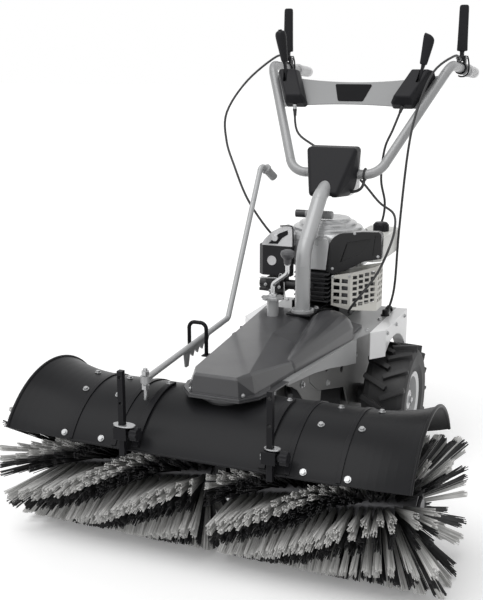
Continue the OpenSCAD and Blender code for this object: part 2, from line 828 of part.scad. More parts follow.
module starter_grip() {
    color(grey) place() translate([starter_x, starter_y, starter_z]) {
        translate([-55, 0, 0]) along_x() cylinder(h = 110, r = starter_r);
        for (k = [0:4]) translate([20 + 7 * k, 0, 0]) along_x() cylinder(h = 3.5, r = starter_r + 0.8);
        rotate([90, 0, 0]) cylinder(h = 24, r = 3);
    }
}

module fuel_cap() {
    z = shroud_z + 90 + fit;
    color(black) place() translate([cap_pos.x, cap_pos.y, z]) difference() {
        union() {
            cylinder(h = 18, r = 23);
            translate([0, 0, 18]) cylinder(h = 7, r1 = 23, r2 = 17);
        }
        translate([0, 0, -1]) cylinder(h = 14, r = 15 + run);
        for (k = [0:11]) rotate([0, 0, 30 * k]) translate([24, 0, -1]) cylinder(h = 40, r = 3, $fn = 24);
    }
}

// Support wheel, its guide tube and its crank
module height_sleeve() {
    color(silver) place() translate([crank_x, crank_y, 0]) difference() {
        union() {
            translate([0, 0, deck_z - 70]) cylinder(h = sleeve_top - deck_z + 70, r = sleeve_r);
            translate([0, 0, sleeve_top]) cylinder(h = 6, r = 24);
            for (k = [0:5]) rotate([0, 0, 60 * k]) translate([20, -7, sleeve_top]) cube([11, 14, 6]);
        }
        translate([0, 0, deck_z - 71]) cylinder(h = sleeve_top - deck_z + 71, r = stem_r + run);
        translate([0, 0, sleeve_top - 1]) cylinder(h = 20, r = 6 + run);
    }
}

module height_crank() {
    z = sleeve_top + 6;
    color(zinc) place() translate([crank_x, crank_y, 0]) {
        bent_bar([[0, 0, z - 70], [0, 0, z + 36], [crank_arm, 0, z + 68], [crank_arm, 0, z + 96]], 14, 6);
        translate([0, 0, z + fit]) cylinder(h = 9, r = 11);
        color(charcoal) translate([crank_arm, 0, z + 92]) rotate_extrude() polygon([[0, 0], [9, 0], [11, 16],
            [18, 24], [20, 31], [18, 38], [10, 42], [0, 43]]);
    }
}

module height_stem() {
    top = deck_z + 57;
    color(zinc) place() translate([crank_x, crank_y, 0]) difference() {
        union() {
            translate([0, 0, fork_top]) cylinder(h = top - fork_top, r = stem_r);
            translate([0, 0, fork_top - 34]) cylinder(h = 35, r = 8);
        }
        translate([0, 0, top - 70]) cylinder(h = 80, r = 6.2);
    }
}

module castor_fork() {
    color(black) place() translate([crank_x, crank_y, 0]) {
        difference() {
            union() {
                translate([0, 0, fork_top - 38]) cylinder(h = 38 - fit, r = 20);
                translate([-27, -18, castor_r + 70]) cube([54, castor_trail + 30, 30]);
                for (m = [-1, 1]) translate([m * 24 - 2.5, 0, 0]) rotate([90, 0, 90]) linear_extrude(5) {
                    polygon([[-18, castor_r + 100], [castor_trail - 14, castor_r], [castor_trail + 14,
                        castor_r],
                        [castor_trail + 12, castor_r + 100]]);
                    translate([castor_trail, castor_r]) circle(r = 14);
                }
            }
            translate([0, 0, castor_r]) cylinder(h = 300, r = 8 + run);
        }
        translate([0, castor_trail, castor_r]) along_x() cylinder(h = 52, r = 6, center = true);
    }
}

module castor_wheel() {
    color(black) place() translate([crank_x, crank_y + castor_trail, castor_r]) along_x() rotate_extrude()
        polygon([[6 + run, -20], [20, -20], [22, -12], [castor_r - 16, -12], [castor_r - 12, -18],
            [castor_r - 3, -16],
            [castor_r, -10], [castor_r, 10], [castor_r - 3, 16], [castor_r - 12, 18], [castor_r - 16, 12],
                [22, 12],
            [20, 20], [6 + run, 20]]);
}

// Wheels
module wheel_axle() {
    color(zinc) place() translate([0, 0, axle_z]) along_x() cylinder(h = 2 * axle_half, r = axle_r, center
        = true);
}

module wheel_rims() {
    h = tyre_w / 2;
    color(zinc) place() both() translate([track / 2, 0, axle_z]) along_x() rotate_extrude($fn = 64)
        polygon([[axle_r + run, -h + 18], [28, -h + 18], [28, -4], [rim_r - 6, -4], [rim_r - 6, -h + 12],
            [rim_r + 9, -h + 8], [rim_r + 9, -h + 11], [rim_r, -h + 16], [rim_r, h - 16], [rim_r + 9, h - 11],
            [rim_r + 9, h - 8], [rim_r - 6, h - 12], [rim_r - 6, 4], [28, 4], [28, h - 18], [axle_r + run,
                h - 18]]);
}

module tyre() {
    h = tyre_w / 2;
    band = tyre_r - 13;
    rotate_extrude($fn = 96) polygon([[rim_r + run, -h + 17], [rim_r + 12, -h + 11], [rim_r + 30, -h + 2],
        [band - 14, -h],
        [band - 3, -h + 6], [band, -h + 20], [band, h - 20], [band - 3, h - 6], [band - 14, h], [rim_r +
            30, h - 2],
        [rim_r + 12, h - 11], [rim_r + run, h - 17]]);
    intersection() {
        cylinder(h = tyre_w - 2, r = tyre_r, center = true, $fn = 96);
        for (k = [0:15]) for (m = [-1, 1]) rotate([0, 0, 22.5 * k + (m > 0 ? 0 : 11.25)])
            translate([band - 8, 0, m * 27]) rotate([m * 26, 0, 0]) translate([0, -7, -37]) cube([30, 14,
                74]);
    }
}

module wheel_tyres() {
    color(black) place() both() translate([track / 2, 0, axle_z]) along_x() tyre();
}

// Belt drive of the brush
module belt_loop(grow) {
    hull() {
        translate([0, -brush_reach]) circle(r = front_belt_r - grow, $fn = 64);
        translate([0, engine_y]) circle(r = rear_belt_r - grow, $fn = 64);
    }
}

module drive_belt() {
    color(black) place() translate([0, 0, belt_z]) linear_extrude(belt_h) difference() {
        belt_loop(0);
        belt_loop(belt_t);
    }
}

// Grooved pulley around the belt, with its shaft
module pulley(belt_r, z0, z1, shaft_r) {
    groove = belt_r - belt_t - fit;
    rotate_extrude($fn = 64) polygon([[0, z0], [shaft_r, z0], [shaft_r, belt_z - 4], [belt_r + 1, belt_z - 4],
        [belt_r + 1, belt_z - fit], [groove, belt_z - fit], [groove, belt_z + belt_h + fit],
        [belt_r + 1, belt_z + belt_h + fit], [belt_r + 1, belt_z + belt_h + 4], [shaft_r, belt_z + belt_h
            + 4],
        [shaft_r, z1], [0, z1]]);
}

module engine_pulley() {
    color(grey) place() translate([0, engine_y, 0]) pulley(rear_belt_r, belt_z - 4, eng_z + 30, crank_r);
}

module brush_pulley() {
    color(grey) place() translate([0, -brush_reach, 0]) pulley(front_belt_r, brush_z + 66, belt_z + belt_h
        + 7, drive_r);
}

module idler_arm() {
    z = belt_z + belt_h + 5;
    color(grey) place() {
        translate([idler_pos.x, idler_pos.y, belt_z - 2]) cylinder(h = belt_h + 5, r = idler_r);
        translate([idler_pos.x, idler_pos.y, belt_z]) cylinder(h = z - belt_z + 4, r = 9);
        rod([idler_pos.x, idler_pos.y, z], [idler_pivot.x, idler_pivot.y, z], 5);
        translate([idler_pivot.x, idler_pivot.y, deck_z + fit]) cylinder(h = z - deck_z + 4, r = 10);
        translate([idler_pivot.x, idler_pivot.y, deck_low]) cylinder(h = 14, r = 6);
    }
}

// Brush head
module swivel_gearbox() {
    color(grey) place() difference() {
        union() {
            translate([0, -brush_reach, turret_top - 24]) cylinder(h = 24, r = turret_r);
            translate([0, -brush_reach, turret_top - 1]) cylinder(h = ring_t + 1, r = turret_pin_r);
            translate([-14, -brush_reach - 45, brush_z]) cube([28, 90, turret_top - 20 - brush_z]);
            at_brush() along_x() cylinder(h = 48, r = 44, center = true);
        }
        at_brush() along_x() cylinder(h = 99, r = brush_shaft_d / 2 + run, center = true);
        translate([0, -brush_reach, brush_z + 62]) cylinder(h = 300, r = drive_r + run);
    }
}

module bolt_frame(spot) {
    round_brush() rotate([0, 0, spot[1]]) translate([cap_r(spot[0] + 9) + 0.2, 0, -spot[0]]) rotate([0,
        90, 0]) children();
}

module bolt_holes() {
    both() for (s = bolt_spots) bolt_frame(s) translate([0, 0, -9]) cylinder(h = 14, r = 4.3, $fn = 24);
}

// Rolled lower edge of the hood sheets
module rolled_edge(x0, x1) {
    r = hood_r - hood_wall / 2;
    at_brush() translate([x0 + 0.5, -r * cos(hood_front), r * sin(hood_front)]) along_x()
        cylinder(h = x1 - x0 - 1, r = hood_wall);
}

module brush_hood() {
    color(charcoal) place() difference() {
        union() {
            arc_sheet(hood_r, hood_wall, -hood_half, hood_half, hood_front, hood_back);
            rolled_edge(-hood_half, hood_half);
        }
        translate([0, -brush_reach, brush_z]) cylinder(h = 400, r = turret_r + fit);
        translate([stud_x, stud_y, brush_z]) cylinder(h = 400, r = stud_r + fit);
    }
}

module hood_extensions() {
    color(charcoal) place() difference() {
        both() {
            arc_sheet(hood_r, hood_wall, hood_half + fit, cap_x - fit, hood_front, hood_back);
            rolled_edge(hood_half + fit, cap_x - fit);
        }
        bolt_holes();
    }
}

module hood_caps() {
    steps = 8;
    xs = [for (k = [0:steps]) cap_x + cap_len * k / steps];
    color(charcoal) place() difference() {
        both() round_brush() rotate([0, 0, hood_front]) rotate_extrude(angle = hood_back - hood_front, $fn
            = 96) {
            polygon(concat([for (x = xs) [cap_r(x), -x]], [for (k = [steps:-1:0]) [cap_r(xs[k]) -
                hood_wall, -xs[k]]]));
            translate([cap_r(cap_x + cap_len) - 1, -cap_x - cap_len + 1]) circle(r = 4, $fn = 24);
        }
        bolt_holes();
    }
}

module hood_straps() {
    color(black) place() both() {
        arc_sheet(hood_r + 2.8, 2.6, hood_half - 6, hood_half + 6, hood_front + 1, hood_back - 1);
        arc_sheet(hood_r + 2.8, 2.6, cap_x - 6, cap_x + 4, hood_front + 1, hood_back - 1);
        arc_sheet(hood_r + 7, 6.8, strap_x - 8, strap_x + 8, hood_front + 2, 96);
    }
}

module hood_bolts() {
    color(zinc) place() {
        both() for (s = bolt_spots) bolt_frame(s) {
            cylinder(h = 1.6, r = 7.5, $fn = 24);
            translate([0, 0, 1.5]) cylinder(h = 4.5, r = 5.6, $fn = 6);
            translate([0, 0, -7]) cylinder(h = 8, r = 4, $fn = 24);
        }
        translate([stud_x, stud_y, brush_z + hood_r - 28]) cylinder(h = rod_z - brush_z - hood_r + 54, r =
            stud_r);
        translate([stud_x, stud_y, rod_z - 24]) cylinder(h = 10, r = 10, $fn = 6);
        translate([stud_x, stud_y, rod_z + 11]) cylinder(h = 9, r = 10, $fn = 6);
    }
}

module bar_clamps() {
    low = clamp_z - 12;
    back = -brush_reach - sqrt(pow(hood_r, 2) - pow(low - brush_z, 2)) - 0.4;
    color(black) place() for (m = [-1, 1]) difference() {
        union() {
            translate([m * bar_x - clamp_half, bar_y - 15, clamp_z - 14]) cube([2 * clamp_half, 30, 28]);
            translate([m * bar_x - clamp_half, bar_y, low]) cube([2 * clamp_half, back - bar_y, 6]);
        }
        translate([m * bar_x, bar_y, clamp_z]) cube([bar_t + 6 * run, bar_t + 6 * run, 99], center = true);
        translate([m * bar_x, bar_y, clamp_z]) along_x() cylinder(h = 40, r = 4 + run);
    }
}

module bar() {
    difference() {
        translate([-bar_t / 2, bar_y - bar_t / 2, bar_low]) cube([bar_t, bar_t, bar_len]);
        for (z = [bar_low + bar_len - 75, bar_low + bar_len - 15]) translate([0, bar_y, z]) rotate([90, 0, 0])
            cylinder(h = 40, r = bar_hole_d / 2, center = true);
    }
}

module left_bar() {
    color(black) place() translate([-bar_x, 0, 0]) bar();
}

module right_bar() {
    color(black) place() translate([bar_x, 0, 0]) bar();
}

module knob() {
    translate([bar_t / 2 + 0.4, bar_y, clamp_z]) along_x() {
        cylinder(h = 34, r = 4);
        translate([0, 0, clamp_half - bar_t / 2 + 2]) cylinder(h = 8, r = 9);
        translate([0, 0, clamp_half - bar_t / 2 + 8]) difference() {
            cylinder(h = 16, r = knob_r);
            for (k = [0:7]) rotate([0, 0, 45 * k + 22.5]) translate([knob_r + 2, 0, -1]) cylinder(h = 20,
                r = 4.5, $fn = 24);
        }
    }
}

module left_knob() {
    color(black) place() translate([-bar_x, 0, 0]) knob();
}

module right_knob() {
    color(black) place() translate([bar_x, 0, 0]) knob();
}

module brush_shaft() {
    r = brush_shaft_d / 2;
    d = drum_d / 2;
    color(zinc) place() at_brush() along_x() rotate_extrude() {
        translate([0, -drum_end]) square([r, 2 * drum_end]);
        for (m = [0, 1]) mirror([0, m]) {
            translate([d - 4, drum_gap]) square([4, drum_end - drum_gap - 6]);
            translate([0, drum_gap]) square([d, 5]);
            translate([0, drum_end - 30]) square([d, 5]);
            translate([0, drum_end - 6]) square([r + 12, 6]);
        }
    }
}

// Roller bristles: helical bands of tufts on a slice of backing
tuft_rows = 9;
band_pairs = 9;
band_twist = 90;
tuft_inner = 45;
wide_band = 24.4;
thin_band = 14.4;
function polar(x, a, r) = [x, -r * cos(a), r * sin(a)];
function lean(s) = s > 0 ? tuft_flare * s * s * s : tuft_inner * s * s * s;

module bristle_band(start, width, twist) {
    n = tuft_rows;
    x0 = drum_gap;
    dx = (drum_end - x0) / n;
    step = twist / n;
    r0 = (drum_d / 2 + fit) / cos((width + abs(step)) / 2);
    r1 = r0 + 5;
    rt = brush_d / 2;
    rings = [for (i = [0:n]) for (q = [[0, r0], [1, r0], [1, r1], [0, r1]])
        polar(x0 + dx * i, start + step * i + width * q[0], q[1])];
    tufts = [for (i = [0:n - 1]) let (a = start + step * i, x = x0 + dx * i,
        tip = x + dx / 2 + lean((2 * i + 1) / n - 1)) concat(
            [for (e = [[0.2, 0.2], [0.8, 0.2], [0.5, 0.8]])
                (polar(x, a, r1) * (1 - e[0]) + polar(x + dx, a + step, r1) * e[0]) * (1 - e[1])
                + (polar(x, a + width, r1) * (1 - e[0]) + polar(x + dx, a + step + width, r1) * e[0]) * e[1]],
            [for (e = [[-5, 0.34], [5, 0.34], [0, 0.66]]) polar(tip + e[0], a + step / 2 + width * e[1],
                rt)])];
    roots = [for (t = tufts) for (q = t) q];
    b = len(rings);
    faces = [for (i = [0:n - 1]) let (ai = 4 * i, di = ai + 1, d = ai + 2, a = ai + 3, bi = ai + 4, ci =
        ai + 5,
        c = ai + 6, e = ai + 7, p = b + 6 * i, q = p + 1, r = p + 2, u = p + 3, v = p + 4, w = p + 5)
        for (f = [[a, e, q], [a, q, p], [e, c, r], [e, r, q], [c, d, r], [d, a, p], [d, p, r], [p, q, v],
            [p, v, u],
            [q, r, w], [q, w, v], [r, p, u], [r, u, w], [u, v, w], [ai, di, ci], [ai, ci, bi], [ai, bi, e],
            [ai, e, a], [ci, di, d], [ci, d, c]]) [f[2], f[1], f[0]]];
    z = 4 * n;
    ends = [[3, 0, 1], [2, 3, 1], [z + 2, z + 1, z], [z + 3, z + 2, z]];
    polyhedron(points = concat(rings, roots), faces = concat(faces, ends));
}

module bristle_half(twist) {
    for (k = [0:band_pairs - 1]) {
        bristle_band(40 * k + 0.3, wide_band, twist);
        color(black) bristle_band(40 * k + 25.3, thin_band, twist);
    }
}

module left_bristles() {
    color(white) place() at_brush() mirror([1, 0, 0]) bristle_half(-band_twist);
}

module right_bristles() {
    color(white) place() at_brush() bristle_half(band_twist);
}

// Rod that swings the brush head
rod_bend = [stud_x, -320, deck_z + 48];
rod_top = [stud_x, -74, deck_z + 447];
grip_dir = unit([25, 55, -50]);

module angle_rod() {
    teeth_z = deck_z + 24;
    color(silver) place() {
        difference() {
            union() {
                translate([stud_x, stud_y, rod_z - 8]) cylinder(h = 16, r = 12);
                bent_bar([[stud_x, stud_y + 9, rod_z], rod_bend, rod_top, rod_top + grip_dir * 62], 16,
                    rod_r);
                translate([stud_x - 2.5, 0, 0]) rotate([90, 0, 90]) linear_extrude(5) polygon([[-596,
                    teeth_z + 6],
                    [-596, teeth_z - 4], [-590, teeth_z - 38], [-576, teeth_z - 38], [-566, teeth_z - 6],
                    [-548, teeth_z - 20], [-538, teeth_z - 4], [-520, teeth_z - 18], [-510, teeth_z - 3],
                    [-492, teeth_z - 16], [-482, teeth_z - 2], [-464, teeth_z - 14], [-450, teeth_z + 8],
                    [-430, teeth_z + 14]]);
            }
            translate([stud_x, stud_y, rod_z - 20]) cylinder(h = 40, r = stud_r + run);
        }
    }
}

module rod_grip() {
    p = rod_top + grip_dir * 22;
    q = rod_top + grip_dir * 66;
    color(grey) place() difference() {
        toward(p, q) {
            cylinder(h = norm(q - p), r = 12);
            cylinder(h = 6, r = 15);
        }
        rod(p - grip_dir * 9, rod_top + grip_dir * 62, rod_r + run);
    }
}

module rod_guide() {
    y = -520;
    x0 = stud_x - 22;
    x1 = stud_x + 26;
    foot = -deck_half(y) + 11;
    color(black) place() {
        bent_bar([[x0, y, deck_z + 7], [x0, y, deck_z + 86], [x1, y, deck_z + 86], [x1, y, deck_z + 2]],
            16, 5);
        translate([x1 - 9, y - 12, deck_z]) cube([foot - x1 + 9, 24, 3]);
    }
}

deck_tray();
chassis_plates();
transmission_case();
fenders();
belt_cover();
engine_stand();
engine_block();
blower_shroud();
engine_cover();
fuel_tank();
air_cleaner();
carburettor();
muffler();
muffler_guard();
steering_column();
column_cover();
column_cover_back();
handlebar();
dash_panel();
gear_console();
throttle_console();
lever_perches();
hand_grips();
control_cables();
height_sleeve();
rod_guide();
drive_belt();
left_clutch_lever();
right_clutch_lever();
gear_lever();
gear_button();
throttle_lever();
starter_grip();
fuel_cap();
height_crank();
height_stem();
castor_fork();
castor_wheel();
wheel_axle();
wheel_rims();
wheel_tyres();
engine_pulley();
brush_pulley();
idler_arm();
swivel_gearbox();
brush_hood();
hood_extensions();
hood_caps();
hood_straps();
hood_bolts();
bar_clamps();
left_bar();
right_bar();
left_knob();
right_knob();
brush_shaft();
left_bristles();
right_bristles();
angle_rod();
rod_grip();
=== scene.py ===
# %% [markdown]
# # A power brush sweeper, dressed for its portrait
# The sweeper is a walk-behind machine: a roller brush under a sheet hood, a petrol engine on a deck, and a tube
# handlebar. Its solids come packed from the CAD model and stay exactly where they are. This file adds what a CAD
# solid can't show: the finish of each surface, thousands of bristles, the control cables and the small hardware.

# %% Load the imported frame
import math
from functools import partial

import bmesh
import bpy
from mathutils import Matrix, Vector


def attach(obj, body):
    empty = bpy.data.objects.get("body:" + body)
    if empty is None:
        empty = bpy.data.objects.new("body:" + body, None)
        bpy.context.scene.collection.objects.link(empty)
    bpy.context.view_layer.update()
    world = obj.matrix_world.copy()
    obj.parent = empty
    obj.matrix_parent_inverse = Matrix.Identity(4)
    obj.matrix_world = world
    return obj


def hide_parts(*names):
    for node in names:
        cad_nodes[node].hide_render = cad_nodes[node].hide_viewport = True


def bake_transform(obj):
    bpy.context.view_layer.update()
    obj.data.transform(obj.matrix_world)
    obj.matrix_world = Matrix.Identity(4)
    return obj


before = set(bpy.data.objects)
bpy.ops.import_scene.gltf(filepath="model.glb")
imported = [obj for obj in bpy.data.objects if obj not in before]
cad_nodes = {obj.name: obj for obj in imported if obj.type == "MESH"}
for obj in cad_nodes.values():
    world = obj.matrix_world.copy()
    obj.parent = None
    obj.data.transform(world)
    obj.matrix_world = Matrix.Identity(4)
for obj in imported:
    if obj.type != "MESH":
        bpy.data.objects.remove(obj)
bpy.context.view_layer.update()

# %% [markdown]
# ## One frame for everything
# The CAD source measures in millimetres from the ground under the wheel axle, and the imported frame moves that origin
# along Y to the middle of the machine. One small function does the same move here, so every place below can be read
# against the drawing. Keeping one conversion in one place is safer than typing shifted numbers.

# %% Places on the drawing
MID_Y = -136.0
BRUSH_Y, BRUSH_Z = -732.0, 175.0


def spot(x, y, z):
    """A point of the drawing, in millimetres from the axle's ground point, in the frame's metres."""
    return Vector((x, y - MID_Y, z)) / 1000.0


print("brush axis at", tuple(spot(0, BRUSH_Y, BRUSH_Z)))

# %% [markdown]
# ## The camera of the photograph
# The picture was taken from the front left of the operator, a little above the handlebar's column. The angle and the
# focal length were solved from the wheel, the hood and the handle ends, and are written down as plain numbers. A lens
# of 58 mm on a 36 mm sensor gives the same perspective as the photograph.

# %% Camera
scene = bpy.context.scene
photo_camera = bpy.data.objects.new("photo_camera", bpy.data.cameras.new("photo_camera"))
scene.collection.objects.link(photo_camera)
photo_camera.location = (0.84561, -2.54289, 1.13152)
photo_camera.rotation_euler = (math.radians(90 - 13.86), 0, math.radians(22.63))
photo_camera.data.lens = 57.973
photo_camera.data.sensor_width = 36.0
scene.camera = photo_camera
print("camera at", tuple(photo_camera.location))

# %% [markdown]
# ## A white studio
# Product pictures like this one are lit in a white room: a broad soft light overhead, a weaker one from the front,
# and a white sweep behind. Suns with a wide angle give that soft even light without a fall-off across the floor. The
# world is white to the camera and to reflections, and dimmer as a light, so that colours stay as they are written.

# %% Floor, world and lights


def feed(tree, socket, value):
    """Link a node's socket to another one, or write a plain value into it."""
    if isinstance(value, bpy.types.NodeSocket):
        tree.links.new(value, socket)
    else:
        socket.default_value = value


def add_node(tree, kind, *values, **settings):
    """A new node: values feed its inputs in order, and settings are its properties or its inputs by name."""
    node = tree.nodes.new(kind)
    for key, value in settings.items():
        if hasattr(node, key):
            setattr(node, key, value)
        else:
            feed(tree, node.inputs[key.replace("_", " ")], value)
    for socket, value in zip(node.inputs, values):
        feed(tree, socket, value)
    return node


def node_out(tree, kind, *values, out=0, **settings):
    """One output of a new node, the first one if none is named."""
    return add_node(tree, kind, *values, **settings).outputs[out]


def math_of(tree, operation, *values):
    return node_out(tree, "ShaderNodeMath", *values, operation=operation)


def vector_of(tree, operation, *values):
    """Vector arithmetic; lengths and dot products give a number, the others a vector."""
    number = operation in ("LENGTH", "DOT_PRODUCT")
    return node_out(tree, "ShaderNodeVectorMath", *values, operation=operation, out="Value" if number else "Vector")


def mix_colour(tree, factor, first, second):
    """A mix of two colours; each value is a socket, a number or a plain colour."""
    mix = add_node(tree, "ShaderNodeMix", data_type="RGBA")
    for place, value in ((0, factor), (6, first), (7, second)):
        feed(tree, mix.inputs[place], (*value, 1) if isinstance(value, tuple) else value)
    return mix.outputs[2]


def new_material(name):
    material = bpy.data.materials.new(name)
    material.use_nodes = True
    return material, material.node_tree


def dress(tree, **values):
    """Feed the inputs of a material's one shader."""
    for label, value in values.items():
        feed(tree, tree.nodes["Principled BSDF"].inputs[label.replace("_", " ")], value)


def seen_rays(tree):
    """1 for what the camera sees straight on, in a mirror or through glass."""
    path = add_node(tree, "ShaderNodeLightPath").outputs
    seen = path["Is Camera Ray"]
    for ray in ("Is Glossy Ray", "Is Transmission Ray"):
        seen = math_of(tree, "MAXIMUM", seen, path[ray])
    return seen


def studio_world(sky, light):
    world = bpy.data.worlds.new("white_room")
    scene.world = world
    world.use_nodes = True
    tree = world.node_tree
    tree.nodes.clear()
    lit, shown = (node_out(tree, "ShaderNodeBackground", Color=(1, 1, 1, 1), Strength=strength)
                  for strength in (light, sky))
    mix = node_out(tree, "ShaderNodeMixShader", seen_rays(tree), lit, shown)
    add_node(tree, "ShaderNodeOutputWorld", Surface=mix)


def soft_sun(name, strength, angle, tilt, turn):
    lamp = bpy.data.objects.new(name, bpy.data.lights.new(name, "SUN"))
    lamp.data.energy = strength
    lamp.data.angle = math.radians(angle)
    lamp.rotation_euler = (math.radians(tilt), 0, math.radians(turn))
    scene.collection.objects.link(lamp)


def studio_floor(half, low=-0.001):
    mesh = bpy.data.meshes.new("studio_floor")
    corners = [(x * half, y * half, low) for x, y in ((-1, -1), (1, -1), (1, 1), (-1, 1))]
    mesh.from_pydata(corners, [], [(0, 1, 2, 3)])
    floor = bpy.data.objects.new("studio_floor", mesh)
    scene.collection.objects.link(floor)
    paint, tree = new_material("floor_white")
    seen = seen_rays(tree)
    base, glow = (mix_colour(tree, seen, (dull, dull, dull), (1.0, 1.0, 1.0)) for dull in (0.78, 0.0))
    dress(tree, Base_Color=base, Roughness=0.9, Specular_IOR_Level=0.0, Emission_Color=glow, Emission_Strength=0.15)
    mesh.materials.append(paint)


scene.view_settings.view_transform = "Standard"
studio_world(sky=1.0, light=0.5)
studio_floor(40.0)
soft_sun("overhead_light", 1.45, 50, 22, -30)
soft_sun("front_light", 0.40, 60, 62, -14)

# %% [markdown]
# ## The control cables come first
# Four sheathed cables run from the levers and the two consoles to the deck and the engine. Each is a fixed length of
# stiff cable that bows out under its own spring. They follow the same round points as the solids they stand for, and
# a smooth curve through those points with a round bevel is the plainest way to draw them.

# %% Cables
CABLE_D = 0.007
SPAN_STEPS = 6
cable_routes = {
    "left_clutch_cable": [(-286.53, 401.6, 1137.06), (-285, 330, 1148), (-334, 200, 1074), (-364, 105, 980),
                          (-350, 70, 895), (-304, 25, 822), (-255, -6, 742), (-206, -15, 676), (-160, -9, 622),
                          (-118.5, -8, 596)],
    "gear_cable": [(-168, 177.85, 1003.86), (-155, 165, 925), (-90, 130, 886), (0, 134, 838), (64, 140, 780),
                   (128, 100, 728), (184, 52, 704), (206, -20, 668), (206, -84, 622), (190, -134, 566),
                   (158, -164, 514), (132, -166, 478), (118, -156, 456), (116, -136, 446)],
    "throttle_cable": [(168, 177.85, 1003.86), (146, 160, 936), (126, 150, 880), (118, 152, 790), (130, 160, 716),
                       (118, 163, 650), (84, 152, 604), (67.28, 110.55, 590)],
    "right_clutch_cable": [(286.53, 401.6, 1137.06), (285, 330, 1148), (246, 220, 1102), (220, 150, 1000),
                           (210, 92, 884), (192, 95, 650), (190, 70, 480), (172, 60, 400)],
}


def smooth_route(points, steps):
    """A Catmull-Rom line through the points, the same as in the CAD source."""
    line = []
    last = len(points) - 1
    for i in range(last):
        a, b, c, d = (points[min(max(i + k, 0), last)] for k in (-1, 0, 1, 2))
        for k in range(steps):
            t = k / steps
            line.append(0.5 * (2 * b + (c - a) * t + (2 * a - 5 * b + 4 * c - d) * t * t
                               + (3 * b - a - 3 * c + d) * t ** 3))
    return line + [points[-1]]


def make_cable(name, route):
    line = smooth_route([spot(*p) for p in route], SPAN_STEPS)
    curve = bpy.data.curves.new(name, "CURVE")
    curve.dimensions = "3D"
    curve.bevel_depth = CABLE_D / 2
    curve.bevel_resolution = 3
    curve.use_fill_caps = True
    spline = curve.splines.new("POLY")
    spline.points.add(len(line) - 1)
    for point, place in zip(spline.points, line):
        point.co = (*place, 1)
    cable = bpy.data.objects.new(name, curve)
    scene.collection.objects.link(cable)
    length = sum((b - a).length for a, b in zip(line, line[1:]))
    return cable, line, length


cables = {name: make_cable(name, route) for name, route in cable_routes.items()}
for name, (cable, line, length) in cables.items():
    print(name, "points", len(line), "length", round(length, 3), "m")

# %% [markdown]
# ## Effects that several finishes share
# Real paint and plastic are never one flat tone. Three small shader groups carry what the finishes share: a grain
# that lifts the surface and varies its tone, a rounded edge that catches light and marks where a paler edge colour
# goes, partly wear and partly a painted highlight, and two-tone masks for pieces moulded in two colours. A group only
# gives out values and normals, so each material keeps its own shader.

# %% Shader groups
NOISE_LOW, NOISE_HIGH = 0.3, 0.7


def spread(tree, value, start, end, low=0.0, high=1.0):
    """A value from start to end, spread over low to high."""
    return node_out(tree, "ShaderNodeMapRange", Value=value, From_Min=start, From_Max=end, To_Min=low,
                    To_Max=high)


def shader_group(name, inputs, outputs):
    """A group with number inputs; outputs are named with their kinds."""
    group = bpy.data.node_groups.new(name, "ShaderNodeTree")
    for label, value in inputs.items():
        group.interface.new_socket(label, in_out="INPUT", socket_type="NodeSocketFloat").default_value = value
    for label, kind in outputs.items():
        group.interface.new_socket(label, in_out="OUTPUT", socket_type="NodeSocket" + kind)
    return group, add_node(group, "NodeGroupInput").outputs


def grain_group():
    group, given = shader_group("surface_grain", {"Fine scale": 900.0, "Broad scale": 6.0},
                                {"Height": "Float", "Tone": "Float"})
    place = node_out(group, "ShaderNodeTexCoord", out="Object")
    fine, broad = (node_out(group, "ShaderNodeTexNoise", Vector=place, Scale=given[scale], Detail=detail,
                            Roughness=rough, out="Fac")
                   for scale, detail, rough in (("Fine scale", 2.0, 0.55), ("Broad scale", 4.0, 0.6)))
    add_node(group, "NodeGroupOutput", Height=fine, Tone=broad)
    return group


def edge_group():
    """Where the rounded normal leaves the true one there is an edge."""
    group, given = shader_group("rounded_edge", {"Radius": 0.0015}, {"Normal": "Vector", "Edge": "Float"})
    rounded = node_out(group, "ShaderNodeBevel", samples=4, Radius=given["Radius"])
    true = node_out(group, "ShaderNodeNewGeometry", out="Normal")
    dot = vector_of(group, "DOT_PRODUCT", rounded, true)
    add_node(group, "NodeGroupOutput", Normal=rounded, Edge=spread(group, dot, 0.985, 0.86))
    return group


def side_group():
    """A mask that is 1 past a plane across X, Y or Z of the piece, with a crisp moulded seam."""
    group, given = shader_group("two_tone_seam", {"X": 0.0, "Y": 0.0, "Z": 1.0, "Place": 0.0}, {"Mask": "Float"})
    place = node_out(group, "ShaderNodeTexCoord", out="Object")
    along = node_out(group, "ShaderNodeCombineXYZ", *(given[axis] for axis in "XYZ"))
    dot = vector_of(group, "DOT_PRODUCT", place, along)
    past = math_of(group, "GREATER_THAN", dot, given["Place"])
    add_node(group, "NodeGroupOutput", Mask=past)
    return group


surface_grain, rounded_edge, two_tone_seam = grain_group(), edge_group(), side_group()
print("shader groups:", [g.name for g in (surface_grain, rounded_edge, two_tone_seam)])

# %% [markdown]
# ## A recipe for hard finishes
# Lacquer, moulded plastic, plating and rubber differ in a handful of numbers: colour, gloss, metal, how coarse the
# grain is and how much an edge shows. One function builds them all from those numbers. The grain drives bump and
# tone, and the roughness drifts a little with the same tone, as a sprayed or moulded surface does.

# %% Finish recipe


